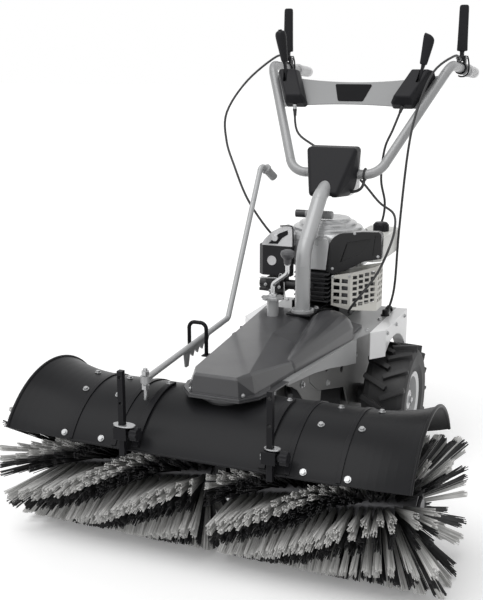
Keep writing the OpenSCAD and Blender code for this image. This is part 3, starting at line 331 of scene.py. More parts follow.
def finish(name, colour, rough, metal=0.0, coat=0.0, fine=900.0, bump=0.05, depth=0.0004, broad=6.0, tone=0.12,
           edge=0.0012, edge_wear_highlight_colour=None, edge_wear_highlight_share=0.35, second=None, seam=None, second_rough=None, second_metal=None,
           sheen=0.5):
    """A material; second is the other colour of a piece that changes colour past a seam (x, y, z, place)."""
    material, tree = new_material(name)
    dress(tree, Metallic=metal, Specular_IOR_Level=sheen, Coat_Weight=coat, Coat_Roughness=0.12)
    grain = add_node(tree, "ShaderNodeGroup", node_tree=surface_grain, Fine_scale=fine, Broad_scale=broad).outputs
    rounded = add_node(tree, "ShaderNodeGroup", node_tree=rounded_edge, Radius=edge).outputs

    def drift(low, high):
        return spread(tree, grain["Tone"], NOISE_LOW, NOISE_HIGH, low, high)

    shade = drift(0.0, 1.0)

    def toned(base):
        dark = tuple(c * (1 - tone) for c in base)
        pale = tuple(min(1.0, c * (1 + tone)) for c in base)
        return mix_colour(tree, shade, dark, pale)

    base = toned(colour)
    rough_value = drift(rough * 0.85, rough * 1.15)
    if second is not None:
        mask = node_out(tree, "ShaderNodeGroup", *seam, node_tree=two_tone_seam, out="Mask")
        base = mix_colour(tree, mask, base, toned(second))
        blend = add_node(tree, "ShaderNodeMix", data_type="FLOAT")
        for place, value in ((0, mask), (2, rough_value), (3, second_rough)):
            feed(tree, blend.inputs[place], value)
        rough_value = blend.outputs[0]
        if second_metal is not None:
            dress(tree, Metallic=spread(tree, mask, 0.0, 1.0, metal, second_metal))
    # Paler edges: partly wear, partly a painted highlight that keeps the edges reading.
    if edge_wear_highlight_colour is not None:
        base = mix_colour(tree, math_of(tree, "MULTIPLY", rounded["Edge"], drift(0.0, edge_wear_highlight_share)), base, edge_wear_highlight_colour)
    lift = node_out(tree, "ShaderNodeBump", Strength=bump, Distance=depth, Height=grain["Height"],
                    Normal=rounded["Normal"])
    dress(tree, Base_Color=base, Roughness=rough_value, Normal=lift)
    return material


# %% [markdown]
# ## The sweeper's own finishes
# The machine is sober: silver-grey lacquer on the tubes and the deck, charcoal satin sheet on the hood, black moulded
# controls, and bright zinc hardware. The engine mixes a silver shroud, a gloss black cover and a pale tank. Each
# row below holds the numbers that one finish gives to the recipe, and numbers that it leaves out keep their defaults.

# %% Finishes
# Paler colours for edges: partly wear, partly painted highlight.
BRIGHT_EDGE = (0.55, 0.55, 0.56)
GREY_EDGE = (0.16, 0.16, 0.17)
recipes = {
    "tube_lacquer": dict(colour=(0.40, 0.405, 0.41), rough=0.36, metal=0.12, coat=0.25, fine=1400, bump=0.03,
                         tone=0.05),
    "bar_lacquer": dict(colour=(0.31, 0.313, 0.317), rough=0.36, metal=0.1, coat=0.2, fine=1400, bump=0.03,
                        tone=0.05),
    "dash_lacquer": dict(colour=(0.25, 0.253, 0.256), rough=0.42, metal=0.1, fine=1200, tone=0.05, sheen=0.35),
    # A darker copy of the silver-grey lacquer: painted shade of the skirts. The dark nose past the seam is two-tone
    # paint.
    "deck_lacquer": dict(colour=(0.29, 0.293, 0.296), rough=0.4, metal=0.1, coat=0.2, fine=1100, bump=0.04, tone=0.07,
                         edge_wear_highlight_colour=BRIGHT_EDGE, edge_wear_highlight_share=0.3, second=(0.035, 0.035, 0.038), seam=(0, -1, 0, 0.498),
                         second_rough=0.36),
    # A still darker copy of the same lacquer: painted shade on the frame's side plates.
    "cheek_lacquer": dict(colour=(0.12, 0.12, 0.118), rough=0.45, metal=0.1, fine=1000, tone=0.1),
    # A brighter copy of the same lacquer: painted light on the fenders' tops. The column cover's back wears it too.
    "fender_lacquer": dict(colour=(0.85, 0.853, 0.86), rough=0.36, coat=0.3, fine=1100, bump=0.04, tone=0.05,
                           edge_wear_highlight_colour=BRIGHT_EDGE, edge_wear_highlight_share=0.2),
    "hood_paint": dict(colour=(0.015, 0.0152, 0.0165), rough=0.34, sheen=0.10, fine=420, bump=0.06, depth=0.0006,
                       broad=4, tone=0.14, edge=0.0015, edge_wear_highlight_colour=(0.12, 0.12, 0.125), edge_wear_highlight_share=0.5),
    "cover_plastic": dict(colour=(0.042, 0.042, 0.045), rough=0.36, coat=0.3, sheen=0.4, fine=700, bump=0.10,
                          edge=0.004, edge_wear_highlight_colour=GREY_EDGE, edge_wear_highlight_share=0.5),
    "black_paint": dict(colour=(0.011, 0.011, 0.0125), rough=0.36, sheen=0.12, fine=800, bump=0.06, tone=0.18,
                        edge_wear_highlight_colour=(0.10, 0.10, 0.105), edge_wear_highlight_share=0.5),
    "black_moulding": dict(colour=(0.015, 0.015, 0.017), rough=0.45, fine=1600, bump=0.16, tone=0.15, edge=0.002,
                           sheen=0.13, edge_wear_highlight_colour=(0.07, 0.07, 0.075), edge_wear_highlight_share=0.5),
    "plate_black": dict(colour=(0.007, 0.007, 0.008), rough=0.4, sheen=0.05, tone=0.1),
    "gloss_moulding": dict(colour=(0.010, 0.010, 0.011), rough=0.16, coat=0.25, sheen=0.2, fine=300, bump=0.02,
                           edge=0.002),
    "grey_moulding": dict(colour=(0.34, 0.343, 0.347), rough=0.45, fine=1400, bump=0.12, tone=0.1, edge=0.0015),
    "shroud_silver": dict(colour=(0.52, 0.525, 0.53), rough=0.28, metal=0.35, coat=0.3, fine=1500, tone=0.06,
                          edge=0.0025),
    "tank_white": dict(colour=(0.72, 0.72, 0.69), rough=0.35, fine=1000, tone=0.04, edge=0.003),
    "guard_cream": dict(colour=(0.60, 0.59, 0.55), rough=0.40, metal=0.25, bump=0.08, tone=0.10,
                        edge_wear_highlight_colour=(0.75, 0.75, 0.74), edge_wear_highlight_share=0.3),
    "dark_casting": dict(colour=(0.022, 0.022, 0.024), rough=0.5, metal=0.2, fine=500, bump=0.25, tone=0.2,
                         edge_wear_highlight_colour=(0.10, 0.10, 0.10), edge_wear_highlight_share=0.4),
    "grey_casting": dict(colour=(0.30, 0.30, 0.305), rough=0.5, metal=0.6, fine=450, bump=0.25, tone=0.15,
                         edge_wear_highlight_colour=BRIGHT_EDGE, edge_wear_highlight_share=0.4),
    "zinc_plate": dict(colour=(0.44, 0.445, 0.45), rough=0.3, metal=0.75, fine=1200, broad=60, tone=0.1, edge=0.0008),
    "dark_steel": dict(colour=(0.10, 0.10, 0.105), rough=0.42, metal=0.7, fine=800, bump=0.1, tone=0.2,
                       edge_wear_highlight_colour=(0.35, 0.35, 0.35), edge_wear_highlight_share=0.4),
    "rim_silver": dict(colour=(0.66, 0.663, 0.667), rough=0.32, metal=0.2, coat=0.2, fine=1200, bump=0.04, tone=0.06),
    "tyre_rubber": dict(colour=(0.016, 0.016, 0.017), rough=0.62, fine=700, bump=0.3, tone=0.25, edge=0.003,
                        edge_wear_highlight_colour=(0.06, 0.06, 0.06), edge_wear_highlight_share=0.5),
    "soft_rubber": dict(colour=(0.012, 0.012, 0.013), rough=0.5, fine=1500, bump=0.15, tone=0.2),
    "pale_grip": dict(colour=(0.72, 0.72, 0.725), rough=0.4, fine=1500, bump=0.12, tone=0.06, edge=0.0015),
    "cleaner_two_tone": dict(colour=(0.013, 0.013, 0.015), rough=0.42, fine=1500, bump=0.12, edge=0.002, sheen=0.3,
                             second=(0.62, 0.62, 0.63), seam=(0, 0, 1, 0.6165), second_rough=0.24, second_metal=0.5),
    "crank_two_tone": dict(colour=(0.62, 0.625, 0.63), rough=0.26, metal=0.9, fine=1200, tone=0.08,
                           second=(0.085, 0.085, 0.09), seam=(0, 0, 1, 0.597), second_rough=0.4, second_metal=0.0),
    "starter_two_tone": dict(colour=(0.27, 0.27, 0.275), rough=0.4, fine=1400, bump=0.12, tone=0.08, edge=0.0015,
                             second=(0.014, 0.014, 0.016), seam=(-1, 0, 0, 0.05), second_rough=0.35),
}
finishes = {name: finish(name, **numbers) for name, numbers in recipes.items()}
print("finishes:", len(finishes))

# %% [markdown]
# ## Who wears what
# Each CAD node keeps its mesh and only its material slots change. A list by finish reads like a painter's job sheet,
# and the last line prints the nodes that are left for new pieces.

# %% Paint the CAD nodes
paint_list = {
    "tube_lacquer": "steering_column angle_rod height_sleeve",
    "bar_lacquer": "handlebar",
    "dash_lacquer": "dash_panel",
    "deck_lacquer": "deck_tray",
    "cheek_lacquer": "chassis_plates",
    "fender_lacquer": "fenders column_cover_back",
    "hood_paint": "brush_hood hood_extensions hood_caps",
    "cover_plastic": "belt_cover",
    "black_paint": "hood_straps bar_clamps left_bar right_bar rod_guide castor_fork engine_stand",
    "black_moulding": "column_cover gear_console throttle_console lever_perches left_clutch_lever "
                      "right_clutch_lever gear_lever gear_button throttle_lever fuel_cap left_knob right_knob",
    "gloss_moulding": "engine_cover",
    "grey_moulding": "rod_grip",
    "shroud_silver": "blower_shroud",
    "tank_white": "fuel_tank",
    "guard_cream": "muffler_guard",
    "dark_casting": "engine_block carburettor transmission_case swivel_gearbox",
    "grey_casting": "engine_pulley brush_pulley",
    "zinc_plate": "hood_bolts wheel_axle height_stem idler_arm",
    "dark_steel": "muffler brush_shaft",
    "rim_silver": "wheel_rims",
    "tyre_rubber": "wheel_tyres castor_wheel",
    "soft_rubber": "drive_belt control_cables",
    "pale_grip": "hand_grips",
    "cleaner_two_tone": "air_cleaner",
    "crank_two_tone": "height_crank",
    "starter_two_tone": "starter_grip",
}
painted = set()
for finish_name, node_names in paint_list.items():
    for node_name in node_names.split():
        for material_slot in cad_nodes[node_name].material_slots:
            material_slot.material = finishes[finish_name]
        painted.add(node_name)
print("painted nodes:", len(painted), "left for new pieces:", sorted(set(cad_nodes) - painted))

# %% [markdown]
# ## Bristles by the thousand
# The roller carries helical bands of plastic filaments, pale and black in turn, set in tufts that fan out to the
# tips. Modelling tufts by hand would take days and hair particles don't survive an export. Geometry Nodes place one
# short strand at every filament: the index gives the tuft, the tuft gives the row and the band, and seeded random
# values loosen each filament within its tuft. The strand is a stack of three rings with a slight bow and a thin tip.

# %% One filament
TIP_R, ROOT_R = 0.175, 0.050
NEAREST_TIP, FARTHEST_TIP = 0.016, 0.537


def turns(count, start=0.0):
    """Even angles once round."""
    return [math.tau * k / count + start for k in range(count)]


def skin_mesh(name, stacks, closed=False, soften=0.0):
    """A mesh over stacks of rings; a closed stack joins its last ring to its first, an open one gets end faces."""
    build = bmesh.new()
    for stack in stacks:
        rings = [[build.verts.new(p) for p in ring] for ring in stack]
        for ring, after in zip(rings, rings[1:] + rings[:1] if closed else rings[1:]):
            for k in range(len(ring)):
                j = (k + 1) % len(ring)
                build.faces.new((ring[k], ring[j], after[j], after[k]))
        if not closed:
            build.faces.new(rings[0])
            build.faces.new(rings[-1])
    bmesh.ops.recalc_face_normals(build, faces=build.faces)
    if soften:
        bmesh.ops.bevel(build, geom=build.edges[:], offset=soften, segments=2, profile=0.5, affect="EDGES",
                        clamp_overlap=True)
    mesh = bpy.data.meshes.new(name)
    build.to_mesh(mesh)
    build.free()
    return mesh


filament_rings = ((0.0, 1.0, 0.0), (0.6, 1.0, 0.5), (1.0, 0.75, 0.0))
filament = bpy.data.objects.new("filament", skin_mesh("filament", [
    [[(bow + width * math.cos(a), width * math.sin(a), z) for a in turns(3)] for z, width, bow in filament_rings]]))
print("filament faces:", len(filament.data.polygons))

# %% The bristle tree


def geometry_tree(name, **inputs):
    """A geometry tree with its inputs and one output; an input is a kind of socket or a plain number."""
    tree = bpy.data.node_groups.new(name, "GeometryNodeTree")
    for label, given in {"Geometry": "Geometry", **inputs}.items():
        kind = given if isinstance(given, str) else "Int" if isinstance(given, int) else "Float"
        socket = tree.interface.new_socket(label.replace("_", " "), in_out="INPUT", socket_type="NodeSocket" + kind)
        if kind != given:
            socket.default_value = given
    tree.interface.new_socket("Geometry", in_out="OUTPUT", socket_type="NodeSocketGeometry")
    return tree, add_node(tree, "NodeGroupInput").outputs


def end_tree(tree, instances, material):
    """Turn the instances into plain mesh with a material, and give that out."""
    real = node_out(tree, "GeometryNodeRealizeInstances", instances)
    dressed = node_out(tree, "GeometryNodeSetMaterial", Geometry=real, Material=material)
    add_node(tree, "NodeGroupOutput", dressed)


def bristle_tree():
    tree, given = geometry_tree(
        "bristle_bands", Rows=24, Bands=9, Columns=3, Filaments=14, Seed=1, Side=1.0, Start_angle=0.0,
        Column_step=0.14, Band_step=math.tau / 9, Twist=math.pi / 2, Inner_end=0.028, Drum_length=0.434,
        Outer_lean=0.137, Inner_lean=0.030, Thickness=0.0013, Tip_spread=0.009, Root_spread=0.003,
        Filament="Object", Material="Material")

    maths = partial(math_of, tree)
    plus, times, times_plus = (partial(maths, kind) for kind in ("ADD", "MULTIPLY", "MULTIPLY_ADD"))

    def random_of(ident, shift):
        """A random value from -1 to 1 for each id."""
        node = add_node(tree, "FunctionNodeRandomValue", data_type="FLOAT", ID=ident, Seed=plus(given["Seed"], shift))
        node.inputs[2].default_value, node.inputs[3].default_value = -1.0, 1.0
        return node.outputs[1]

    def around(x, angle, radius):
        """A point at an angle round the brush axis; 0 is the front and a quarter turn is up."""
        back = times(times(radius, maths("COSINE", angle)), -1.0)
        up = times(radius, maths("SINE", angle))
        return node_out(tree, "ShaderNodeCombineXYZ", times(x, given["Side"]), plus(back, spot(0, BRUSH_Y, 0).y),
                        plus(up, BRUSH_Z / 1000))

    def whole(value, count):
        """How often a count goes into a whole number; the quarter keeps it clear of rounding."""
        return maths("FLOOR", maths("DIVIDE", plus(value, 0.25), given[count]))

    # The index gives the tuft, the tuft its row and line, and the line its column and band
    index = node_out(tree, "GeometryNodeInputIndex")
    tuft = whole(index, "Filaments")
    row = maths("FLOORED_MODULO", tuft, given["Rows"])
    line = whole(tuft, "Rows")
    column = maths("FLOORED_MODULO", line, given["Columns"])
    band = whole(line, "Columns")

    # The row is a share of the drum's length, and the share and the band give the angle
    share = maths("DIVIDE", plus(row, 0.5), given["Rows"])
    share = times_plus(share, 0.945, 0.015)
    share = times_plus(random_of(tuft, 3), 0.008, share)
    twist = times(times(share, given["Twist"]), given["Side"])
    angle = times_plus(band, given["Band step"], given["Start angle"])
    angle = times_plus(column, given["Column step"], angle)
    angle = plus(angle, twist)

    # Tufts lean out at the ends of the drum
    from_middle = times_plus(share, 2.0, -1.0)
    cube = maths("POWER", maths("ABSOLUTE", from_middle), 3.0)
    outward = times(maths("GREATER_THAN", from_middle, 0.0), times(cube, given["Outer lean"]))
    inward = times(maths("LESS_THAN", from_middle, 0.0), times(cube, given["Inner lean"]))
    reach = times_plus(share, given["Drum length"], given["Inner end"])
    root_x = times_plus(random_of(index, 11), given["Root spread"], reach)
    tip_x = plus(maths("SUBTRACT", outward, inward), reach)
    tip_x = times_plus(random_of(index, 17), given["Tip spread"], tip_x)
    tip_x = times_plus(random_of(tuft, 23), 0.003, tip_x)
    tip_x = maths("MINIMUM", maths("MAXIMUM", tip_x, NEAREST_TIP), FARTHEST_TIP)
    root_angle = times_plus(random_of(index, 29), maths("DIVIDE", given["Root spread"], ROOT_R), angle)
    tip_angle = times_plus(random_of(index, 31), maths("DIVIDE", given["Tip spread"], TIP_R), angle)
    tip_angle = times_plus(random_of(tuft, 37), 0.02, tip_angle)
    tip_radius = times_plus(random_of(index, 41), 0.0028, TIP_R - 0.003)
    root, tip = around(root_x, root_angle, ROOT_R), around(tip_x, tip_angle, tip_radius)

    along = vector_of(tree, "SUBTRACT", tip, root)
    length = vector_of(tree, "LENGTH", along)
    facing = node_out(tree, "FunctionNodeAlignRotationToVector", axis="Z", Vector=along)
    size = node_out(tree, "ShaderNodeCombineXYZ", given["Thickness"], given["Thickness"], length)
    total = times(times(given["Rows"], given["Filaments"]), times(given["Bands"], given["Columns"]))
    points = node_out(tree, "GeometryNodePoints", Count=total, Position=root)
    shape = node_out(tree, "GeometryNodeObjectInfo", Object=given["Filament"], out="Geometry")
    copies = node_out(tree, "GeometryNodeInstanceOnPoints", Points=points, Instance=shape, Rotation=facing,
                      Scale=size)
    shaded = node_out(tree, "GeometryNodeStoreNamedAttribute", data_type="FLOAT", domain="INSTANCE", Geometry=copies,
                      Name="shade", Value=random_of(index, 47))
    end_tree(tree, shaded, given["Material"])
    return tree


bristle_bands = bristle_tree()
print("bristle tree nodes:", len(bristle_bands.nodes))

# %% [markdown]
# ## The two colours of filament
# The pale filaments are translucent-looking grey plastic and the black ones are a little glossy. Each filament has
# its own random tone, stored on the mesh by the tree, and all of them get darker towards the drum: partly dirt, partly
# painted shade deep among the filaments.
# Reading a stored attribute keeps the variation fixed to each filament in every view.

# %% Filament materials


def filament_finish(name, pale, dark, root, rough):
    material, tree = new_material(name)
    own = node_out(tree, "ShaderNodeAttribute", attribute_name="shade", out="Fac")
    share = spread(tree, own, -1.0, 1.0)
    place = node_out(tree, "ShaderNodeTexCoord", out="Object")
    axis = (0, spot(0, BRUSH_Y, 0).y, BRUSH_Z / 1000)
    apart = vector_of(tree, "SUBTRACT", place, axis)
    flat = vector_of(tree, "MULTIPLY", apart, (0, 1, 1))
    far = vector_of(tree, "LENGTH", flat)
    # Darker towards the drum: partly dirt, partly painted shade deep among the filaments.
    clear_of_root_shade_and_dirt = spread(tree, far, 0.060, 0.135)
    dress(tree, Base_Color=mix_colour(tree, clear_of_root_shade_and_dirt, root, mix_colour(tree, share, dark, pale)),
          Roughness=spread(tree, share, 0.0, 1.0, rough * 0.8, rough * 1.2), Specular_IOR_Level=0.4)
    return material


# The third colour of each is its root's: partly dirt, partly painted shade.
pale_filament = filament_finish("pale_filament", (0.82, 0.815, 0.80), (0.50, 0.50, 0.49), (0.16, 0.16, 0.155), 0.42)
black_filament = filament_finish("black_filament", (0.030, 0.030, 0.031), (0.010, 0.010, 0.011),
                                 (0.008, 0.008, 0.008), 0.45)
print("filament finishes:", pale_filament.name, black_filament.name)

# %% Grow the bristles


def plain_mesh(name, owner):
    """The evaluated result of a modifier as an ordinary mesh object at the origin."""
    bpy.context.view_layer.update()
    seen = owner.evaluated_get(bpy.context.evaluated_depsgraph_get())
    mesh = bpy.data.meshes.new_from_object(seen)
    mesh.name = name
    bpy.data.objects.remove(owner)
    piece = bpy.data.objects.new(name, mesh)
    scene.collection.objects.link(piece)
    return piece


def run_tree(name, tree, owner_mesh=None, **values):
    """A piece made by a geometry tree; inputs are set by the sockets' identifiers before it runs."""
    owner = bpy.data.objects.new(name + "_source", owner_mesh or bpy.data.meshes.new(name + "_source"))
    scene.collection.objects.link(owner)
    modifier = owner.modifiers.new("tree", "NODES")
    modifier.node_group = tree
    for item in tree.interface.items_tree:
        key = item.name.replace(" ", "_")
        if item.item_type == "SOCKET" and item.in_out == "INPUT" and key in values:
            modifier[item.identifier] = values[key]
    return plain_mesh(name, owner)


BAND = math.radians(40)
bristle_kinds = {
    "black": dict(Start_angle=math.radians(1.5), Column_step=math.radians(6.5), Columns=2, Rows=21, Filaments=20,
                  Seed=9, Thickness=0.0014, Tip_spread=0.0078, Root_spread=0.004, Material=black_filament),
    "pale": dict(Start_angle=math.radians(14.5), Column_step=math.radians(7.0), Columns=2, Rows=21, Filaments=25,
                 Seed=5, Thickness=0.0015, Tip_spread=0.0075, Root_spread=0.004, Material=pale_filament),
}
for side_name, side in (("left", -1.0), ("right", 1.0)):
    for kind, values in bristle_kinds.items():
        bristles = run_tree(f"{side_name}_{kind}_bristles", bristle_bands, Side=side, Band_step=BAND,
                            Filament=filament, **values)
        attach(bristles, "brush")
        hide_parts(f"{side_name}_bristles")
        print(bristles.name, "triangles:", sum(len(p.vertices) - 2 for p in bristles.data.polygons))

# %% [markdown]
# ## Plates, turned pieces and bent wire
# A machine like this carries dozens of small fittings that a drawing of main parts leaves out: a plate on the dash,
# sleeves on the cable ends, a strap, a few links. Sheet pieces are outlines with a thickness, turned pieces are
# profiles spun round an axis, and wire is a tube along a line. Each is a stack of rings, like the filament.

# %% Builders for small pieces
UP, FRONT = Vector((0, 0, 1)), Vector((0, -1, 0))


def side_axes(axis):
    """Two directions square to an axis."""
    first = axis.cross(UP if abs(axis.z) < 0.8 else Vector((1, 0, 0))).normalized()
    return first, axis.cross(first)


def circle(centre, first, second, radius, sides):
    """A ring of points; its radius is in millimetres."""
    return [centre + (first * math.cos(a) + second * math.sin(a)) * (radius / 1000) for a in turns(sides)]


def plate(outline, depth):
    """The rings of a flat plate: its outline in space and the vector of its thickness."""
    return [outline, [p + depth for p in outline]]


def turned(place, axis, profile, sides=24):
    """The rings of a turned piece: distances along the axis with radii, in millimetres."""
    return [circle(place + axis * (along / 1000), *side_axes(axis), radius, sides) for along, radius in profile]


def wire(line, radius, sides=10):
    """The rings of a round wire along a line of points."""
    rings = []
    first = None
    for i, centre in enumerate(line):
        axis = (line[min(i + 1, len(line) - 1)] - line[max(i - 1, 0)]).normalized()
        first = side_axes(axis)[0] if first is None else (first - axis * first.dot(axis)).normalized()
        rings.append(circle(centre, first, axis.cross(first), radius, sides))
    return rings


def straight(*points):
    """A line through places on the drawing."""
    return [spot(*p) for p in points]


def bent(steps, *points):
    """A smooth line through places on the drawing."""
    return smooth_route(straight(*points), steps)


def small_piece(name, body, slot, finish_name, *stacks, **skin):
    """A piece over stacks of rings, hung on its body if it has just one."""
    mesh = skin_mesh(name, stacks, **skin)
    mesh.materials.append(finishes[finish_name])
    piece = bpy.data.objects.new(name, mesh)
    scene.collection.objects.link(piece)
    if body:
        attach(piece, body)
    print(name, "faces:", len(mesh.polygons))
    return piece


# %% [markdown]
# ## The plate on the dash
# The dash is a sheet between the handlebar's arms, and a black plate sits in its middle, wider at the top. The plate
# lies in the tilted plane of the arms, so a small function turns places on that plane into places in the frame, and
# the plate follows the panel exactly.

# %% Dash plate
ARM_TILT = math.atan2(310, 223)
BAR_Y, BAR_Z = 62, 812


def arm_spot(x, v, n):
    """A point of the arms' plane: across, up along the arms and off the face."""
    return spot(x, BAR_Y + v * math.cos(ARM_TILT) - n * math.sin(ARM_TILT),
                BAR_Z + v * math.sin(ARM_TILT) + n * math.cos(ARM_TILT))


PLATE_SEAT, PLATE_THICK = 1.5, 2.2
half_plate = ((36, 249), (40, 252), (57, 305), (55, 309))
outline = [arm_spot(x, v, PLATE_SEAT) for x, v in (*half_plate, *((-x, v) for x, v in reversed(half_plate)))]
small_piece("dash_plate", "chassis", "black_plastic", "plate_black",
            plate(outline, arm_spot(0, 0, PLATE_THICK) - arm_spot(0, 0, 0)), soften=0.0005)

# %% [markdown]
# ## Soft handles on the levers
# The throttle has a flat rounded handle and the gear lever a pear-shaped one with a button in its end. The two clutch
# levers are dipped in thick black plastic. All are skins over plain levers: a stack of ovals of changing width,
# nearly square for the dipped ones, and a closed ring for the pear, which leaves room for the button to slide.

# %% Lever handles
LEVER_LEAN = math.radians(10)
CONTROL_PIN = (206, 300, 24)
CLUTCH_PIN = (286.5, 441.6, 1143)


def lever_spot(side, x, y, z):
    """A point of a control lever's own frame: across, back and up from its pin, on the left (-1) or right (1)."""
    across = x * math.cos(LEVER_LEAN) + z * math.sin(LEVER_LEAN)
    up = z * math.cos(LEVER_LEAN) - x * math.sin(LEVER_LEAN)
    return arm_spot(CONTROL_PIN[0] * side, *CONTROL_PIN[1:]) + Vector((side * across, y, up)) / 1000


def clutch_spot(side, x, y, z):
    """A point of a clutch lever's own frame."""
    return spot(side * (CLUTCH_PIN[0] + x), CLUTCH_PIN[1] + y, CLUTCH_PIN[2] + z)


def handle(at, side, rows, square=1.0, sides=28):
    """Rings by height, middle, half width, half depth and tilt; a low square number makes the ovals boxy."""
    oval = [[math.copysign(abs(v) ** square, v) for v in (math.cos(a), math.sin(a))] for a in turns(sides)]
    return [[at(side, middle + half_wide * c, half_deep * s, height - tilt * c) for c, s in oval]
            for height, middle, half_wide, half_deep, tilt in rows]


throttle_rows = [(54, 0, 8, 5.5, 0), (55, 0, 10, 7, 0), (58, 0, 11.2, 8, 0), (80, 0.6, 13.2, 8.6, 0),
                 (104, 1, 15.4, 9, 1), (122, 1, 16.8, 9, 2), (131, 0.4, 16.6, 8.6, 3.2), (137, -0.8, 14.6, 7.4, 4),
                 (140.5, -2.6, 11.2, 5.4, 3), (142, -4, 6.6, 2.8, 1.5)]
gear_rows = [(64, 7), (64, 9.4), (66, 10.2), (90, 12.6), (118, 15.4), (134, 16.8), (143, 17), (149, 16),
             (153.5, 13.4), (156, 10), (156.6, 8), (156, 7)]
clutch_rows = [(20, 12.5, 5.6), (21.5, 15.6, 6.8), (24, 16.2, 7.2), (45, 15.6, 7.2), (80, 15, 7.2), (145, 14.2, 7),
               (153, 13.6, 6.8), (157, 11.5, 6), (158.2, 7.5, 4)]
small_piece("throttle_handle", "throttle_lever", "black_plastic", "black_moulding",
            handle(lever_spot, 1, throttle_rows))
small_piece("gear_handle", "gear_lever", "black_plastic", "black_moulding",
            handle(lever_spot, -1, [(height, 0, radius, radius, 0) for height, radius in gear_rows]), closed=True)
for side_name, side in (("left", -1), ("right", 1)):
    rows = [(height, 0, wide, deep, 0) for height, wide, deep in clutch_rows]
    small_piece(f"{side_name}_clutch_skin", f"{side_name}_clutch_lever", "black_plastic", "black_moulding",
                handle(clutch_spot, side, rows, square=0.5))
hook = [(17, 1149), (21, 1136), (23.5, 1116), (22, 1099), (13, 1088), (0, 1086), (-8, 1089)]
small_piece("lever_hooks", "chassis", "black_paint", "black_paint",
            *(wire(bent(4, *((side * CLUTCH_PIN[0] + x, CLUTCH_PIN[1], z) for x, z in hook)), 2.4)
              for side in (-1, 1)))

# %% [markdown]
# ## The face of the air cleaner
# The air cleaner has a silver lid with a slanted opening and a wire clip over its corner, and a plain round
# badge on its black box. These are thin things on a flat face. The opening is a shallow dark plate of painted shade,
# the clip is bent wire and the badge is one turned disc with a raised rim.

# %% Air cleaner trim
# The dark plate stands for the shade inside the opening: painted shade.
opening_shade = straight(*((x, -112, z) for x, z in ((-140, 622), (-128, 634), (-108, 653), (-82, 664), (-80, 652),
                                               (-98, 640), (-112, 622))))
small_piece("cleaner_opening", "chassis", "black_plastic", "black_moulding", plate(opening_shade, FRONT * 0.0012),
            soften=0.0004)
small_piece("cleaner_clip", "chassis", "black_paint", "black_paint",
            wire(bent(3, (-104, -113.6, 675), (-84, -114, 677), (-69, -114.5, 676), (-65, -115, 668),
                      (-64, -115, 640), (-64, -113.6, 610)), 2.0))
small_piece("cleaner_badge", "chassis", "panel_grey", "pale_grip",
            turned(spot(-130, -109.6, 572), FRONT, ((0, 14), (1.2, 14), (1.9, 13.3), (1.9, 12), (1.2, 11.4),
                                                    (1.2, 0.4)), sides=40))

# %% [markdown]
# ## Cable ends
# A sheathed cable ends in a short tapered rubber sleeve that keeps it from kinking. Each end of the four cables gets
# one, turned along the direction in which the cable leaves, and the pulled ones have a zinc adjusting screw before
# it. These fittings belong to their cable, so they are made in the cable's own loop, which also hangs the cable on the
# chassis.

# %% Sleeves, and the cables hung on the chassis
SCREW_LENGTH = 14
sleeve = ((0, 6.4), (5, 6.4), (6, 5.6), (20, 4.4), (21, 3.0))
adjuster = ((0, 6), (6, 6), (6.5, 4.8), (9, 4.8), (9.5, 6), (SCREW_LENGTH, 6))
for name, (cable, line, length) in cables.items():
    screwed = name != "throttle_cable"
    before = SCREW_LENGTH if screwed else 0
    start_way, end_way = ((b - a).normalized() for a, b in (line[:2], line[:-3:-1]))
    fittings = [small_piece(name + "_sleeves", "chassis", "rubber", "soft_rubber",
                            turned(line[0] + start_way * before / 1000, start_way, sleeve, sides=16),
                            turned(line[-1], end_way, sleeve, sides=16))]
    if screwed:
        fittings.append(small_piece(name + "_screw", "chassis", "steel", "zinc_plate",
                                    turned(line[0], start_way, adjuster, sides=12)))
    cable.data.materials.append(finishes["soft_rubber"])
    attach(cable, "chassis")
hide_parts("control_cables")
print("declared", len(cables), "cables")

# %% [markdown]
# ## Strap, stop and links
# Under the bar hangs a black strap that keeps the cables together. On the deck the right cable ends in a black stop
# with a small lever. By the carburettor thin zinc links join its levers. They are bent wire and turned studs.

# %% Strap, cable stop and carburettor links
STRAP_X, STRAP_R = 93, 17
loop = [(STRAP_X, BAR_Y + STRAP_R * math.cos(a), BAR_Z + STRAP_R * math.sin(a)) for a in (*turns(20), math.tau)]
small_piece("cable_strap", "chassis", "rubber", "soft_rubber",
            wire(bent(4, (93, 52, 797), (95, 40, 788), (90, 36, 776), (78, 36, 767), (60, 36, 763), (46, 40, 764)),
                 4.2),
            wire(straight(*loop), 3.0))
small_piece("cable_stop", "chassis", "black_plastic", "black_moulding",
            turned(spot(170, 52, 398), UP, ((0, 13), (3, 13), (4, 9), (16, 9), (18, 7))),
            wire(bent(4, (170, 52, 411), (172, 76, 420), (174, 104, 412), (174, 116, 400)), 4.0))
small_piece("throttle_links", "chassis", "steel", "zinc_plate",
            wire(straight((-158, -136, 524), (-112, -136, 527), (-88, -136, 526)), 1.4, sides=8),
            wire(bent(3, (-98, -136, 516), (-96, -138, 538), (-90, -138, 541), (-86, -136, 534)), 1.6, sides=8),
            wire(straight((-84, -130, 516), (-82, -132, 488), (-80, -132, 470)), 1.6, sides=8),
            *(turned(spot(x, -131.5, z), FRONT, ((0, 5), (3, 5), (4, 4), (4, 0.4)), sides=12)
              for x, z in ((-126, 487), (-98, 500), (-140, 505))))

# %% [markdown]
# ## The starter rope
# Pulling the starter grip draws a thin rope out of the shroud. The rope lies wound up inside, so at rest only a short
# end shows. A straight tube with many rings runs from the shroud's eye to the grip. It hangs on no body, and its
# place is baked into its mesh.

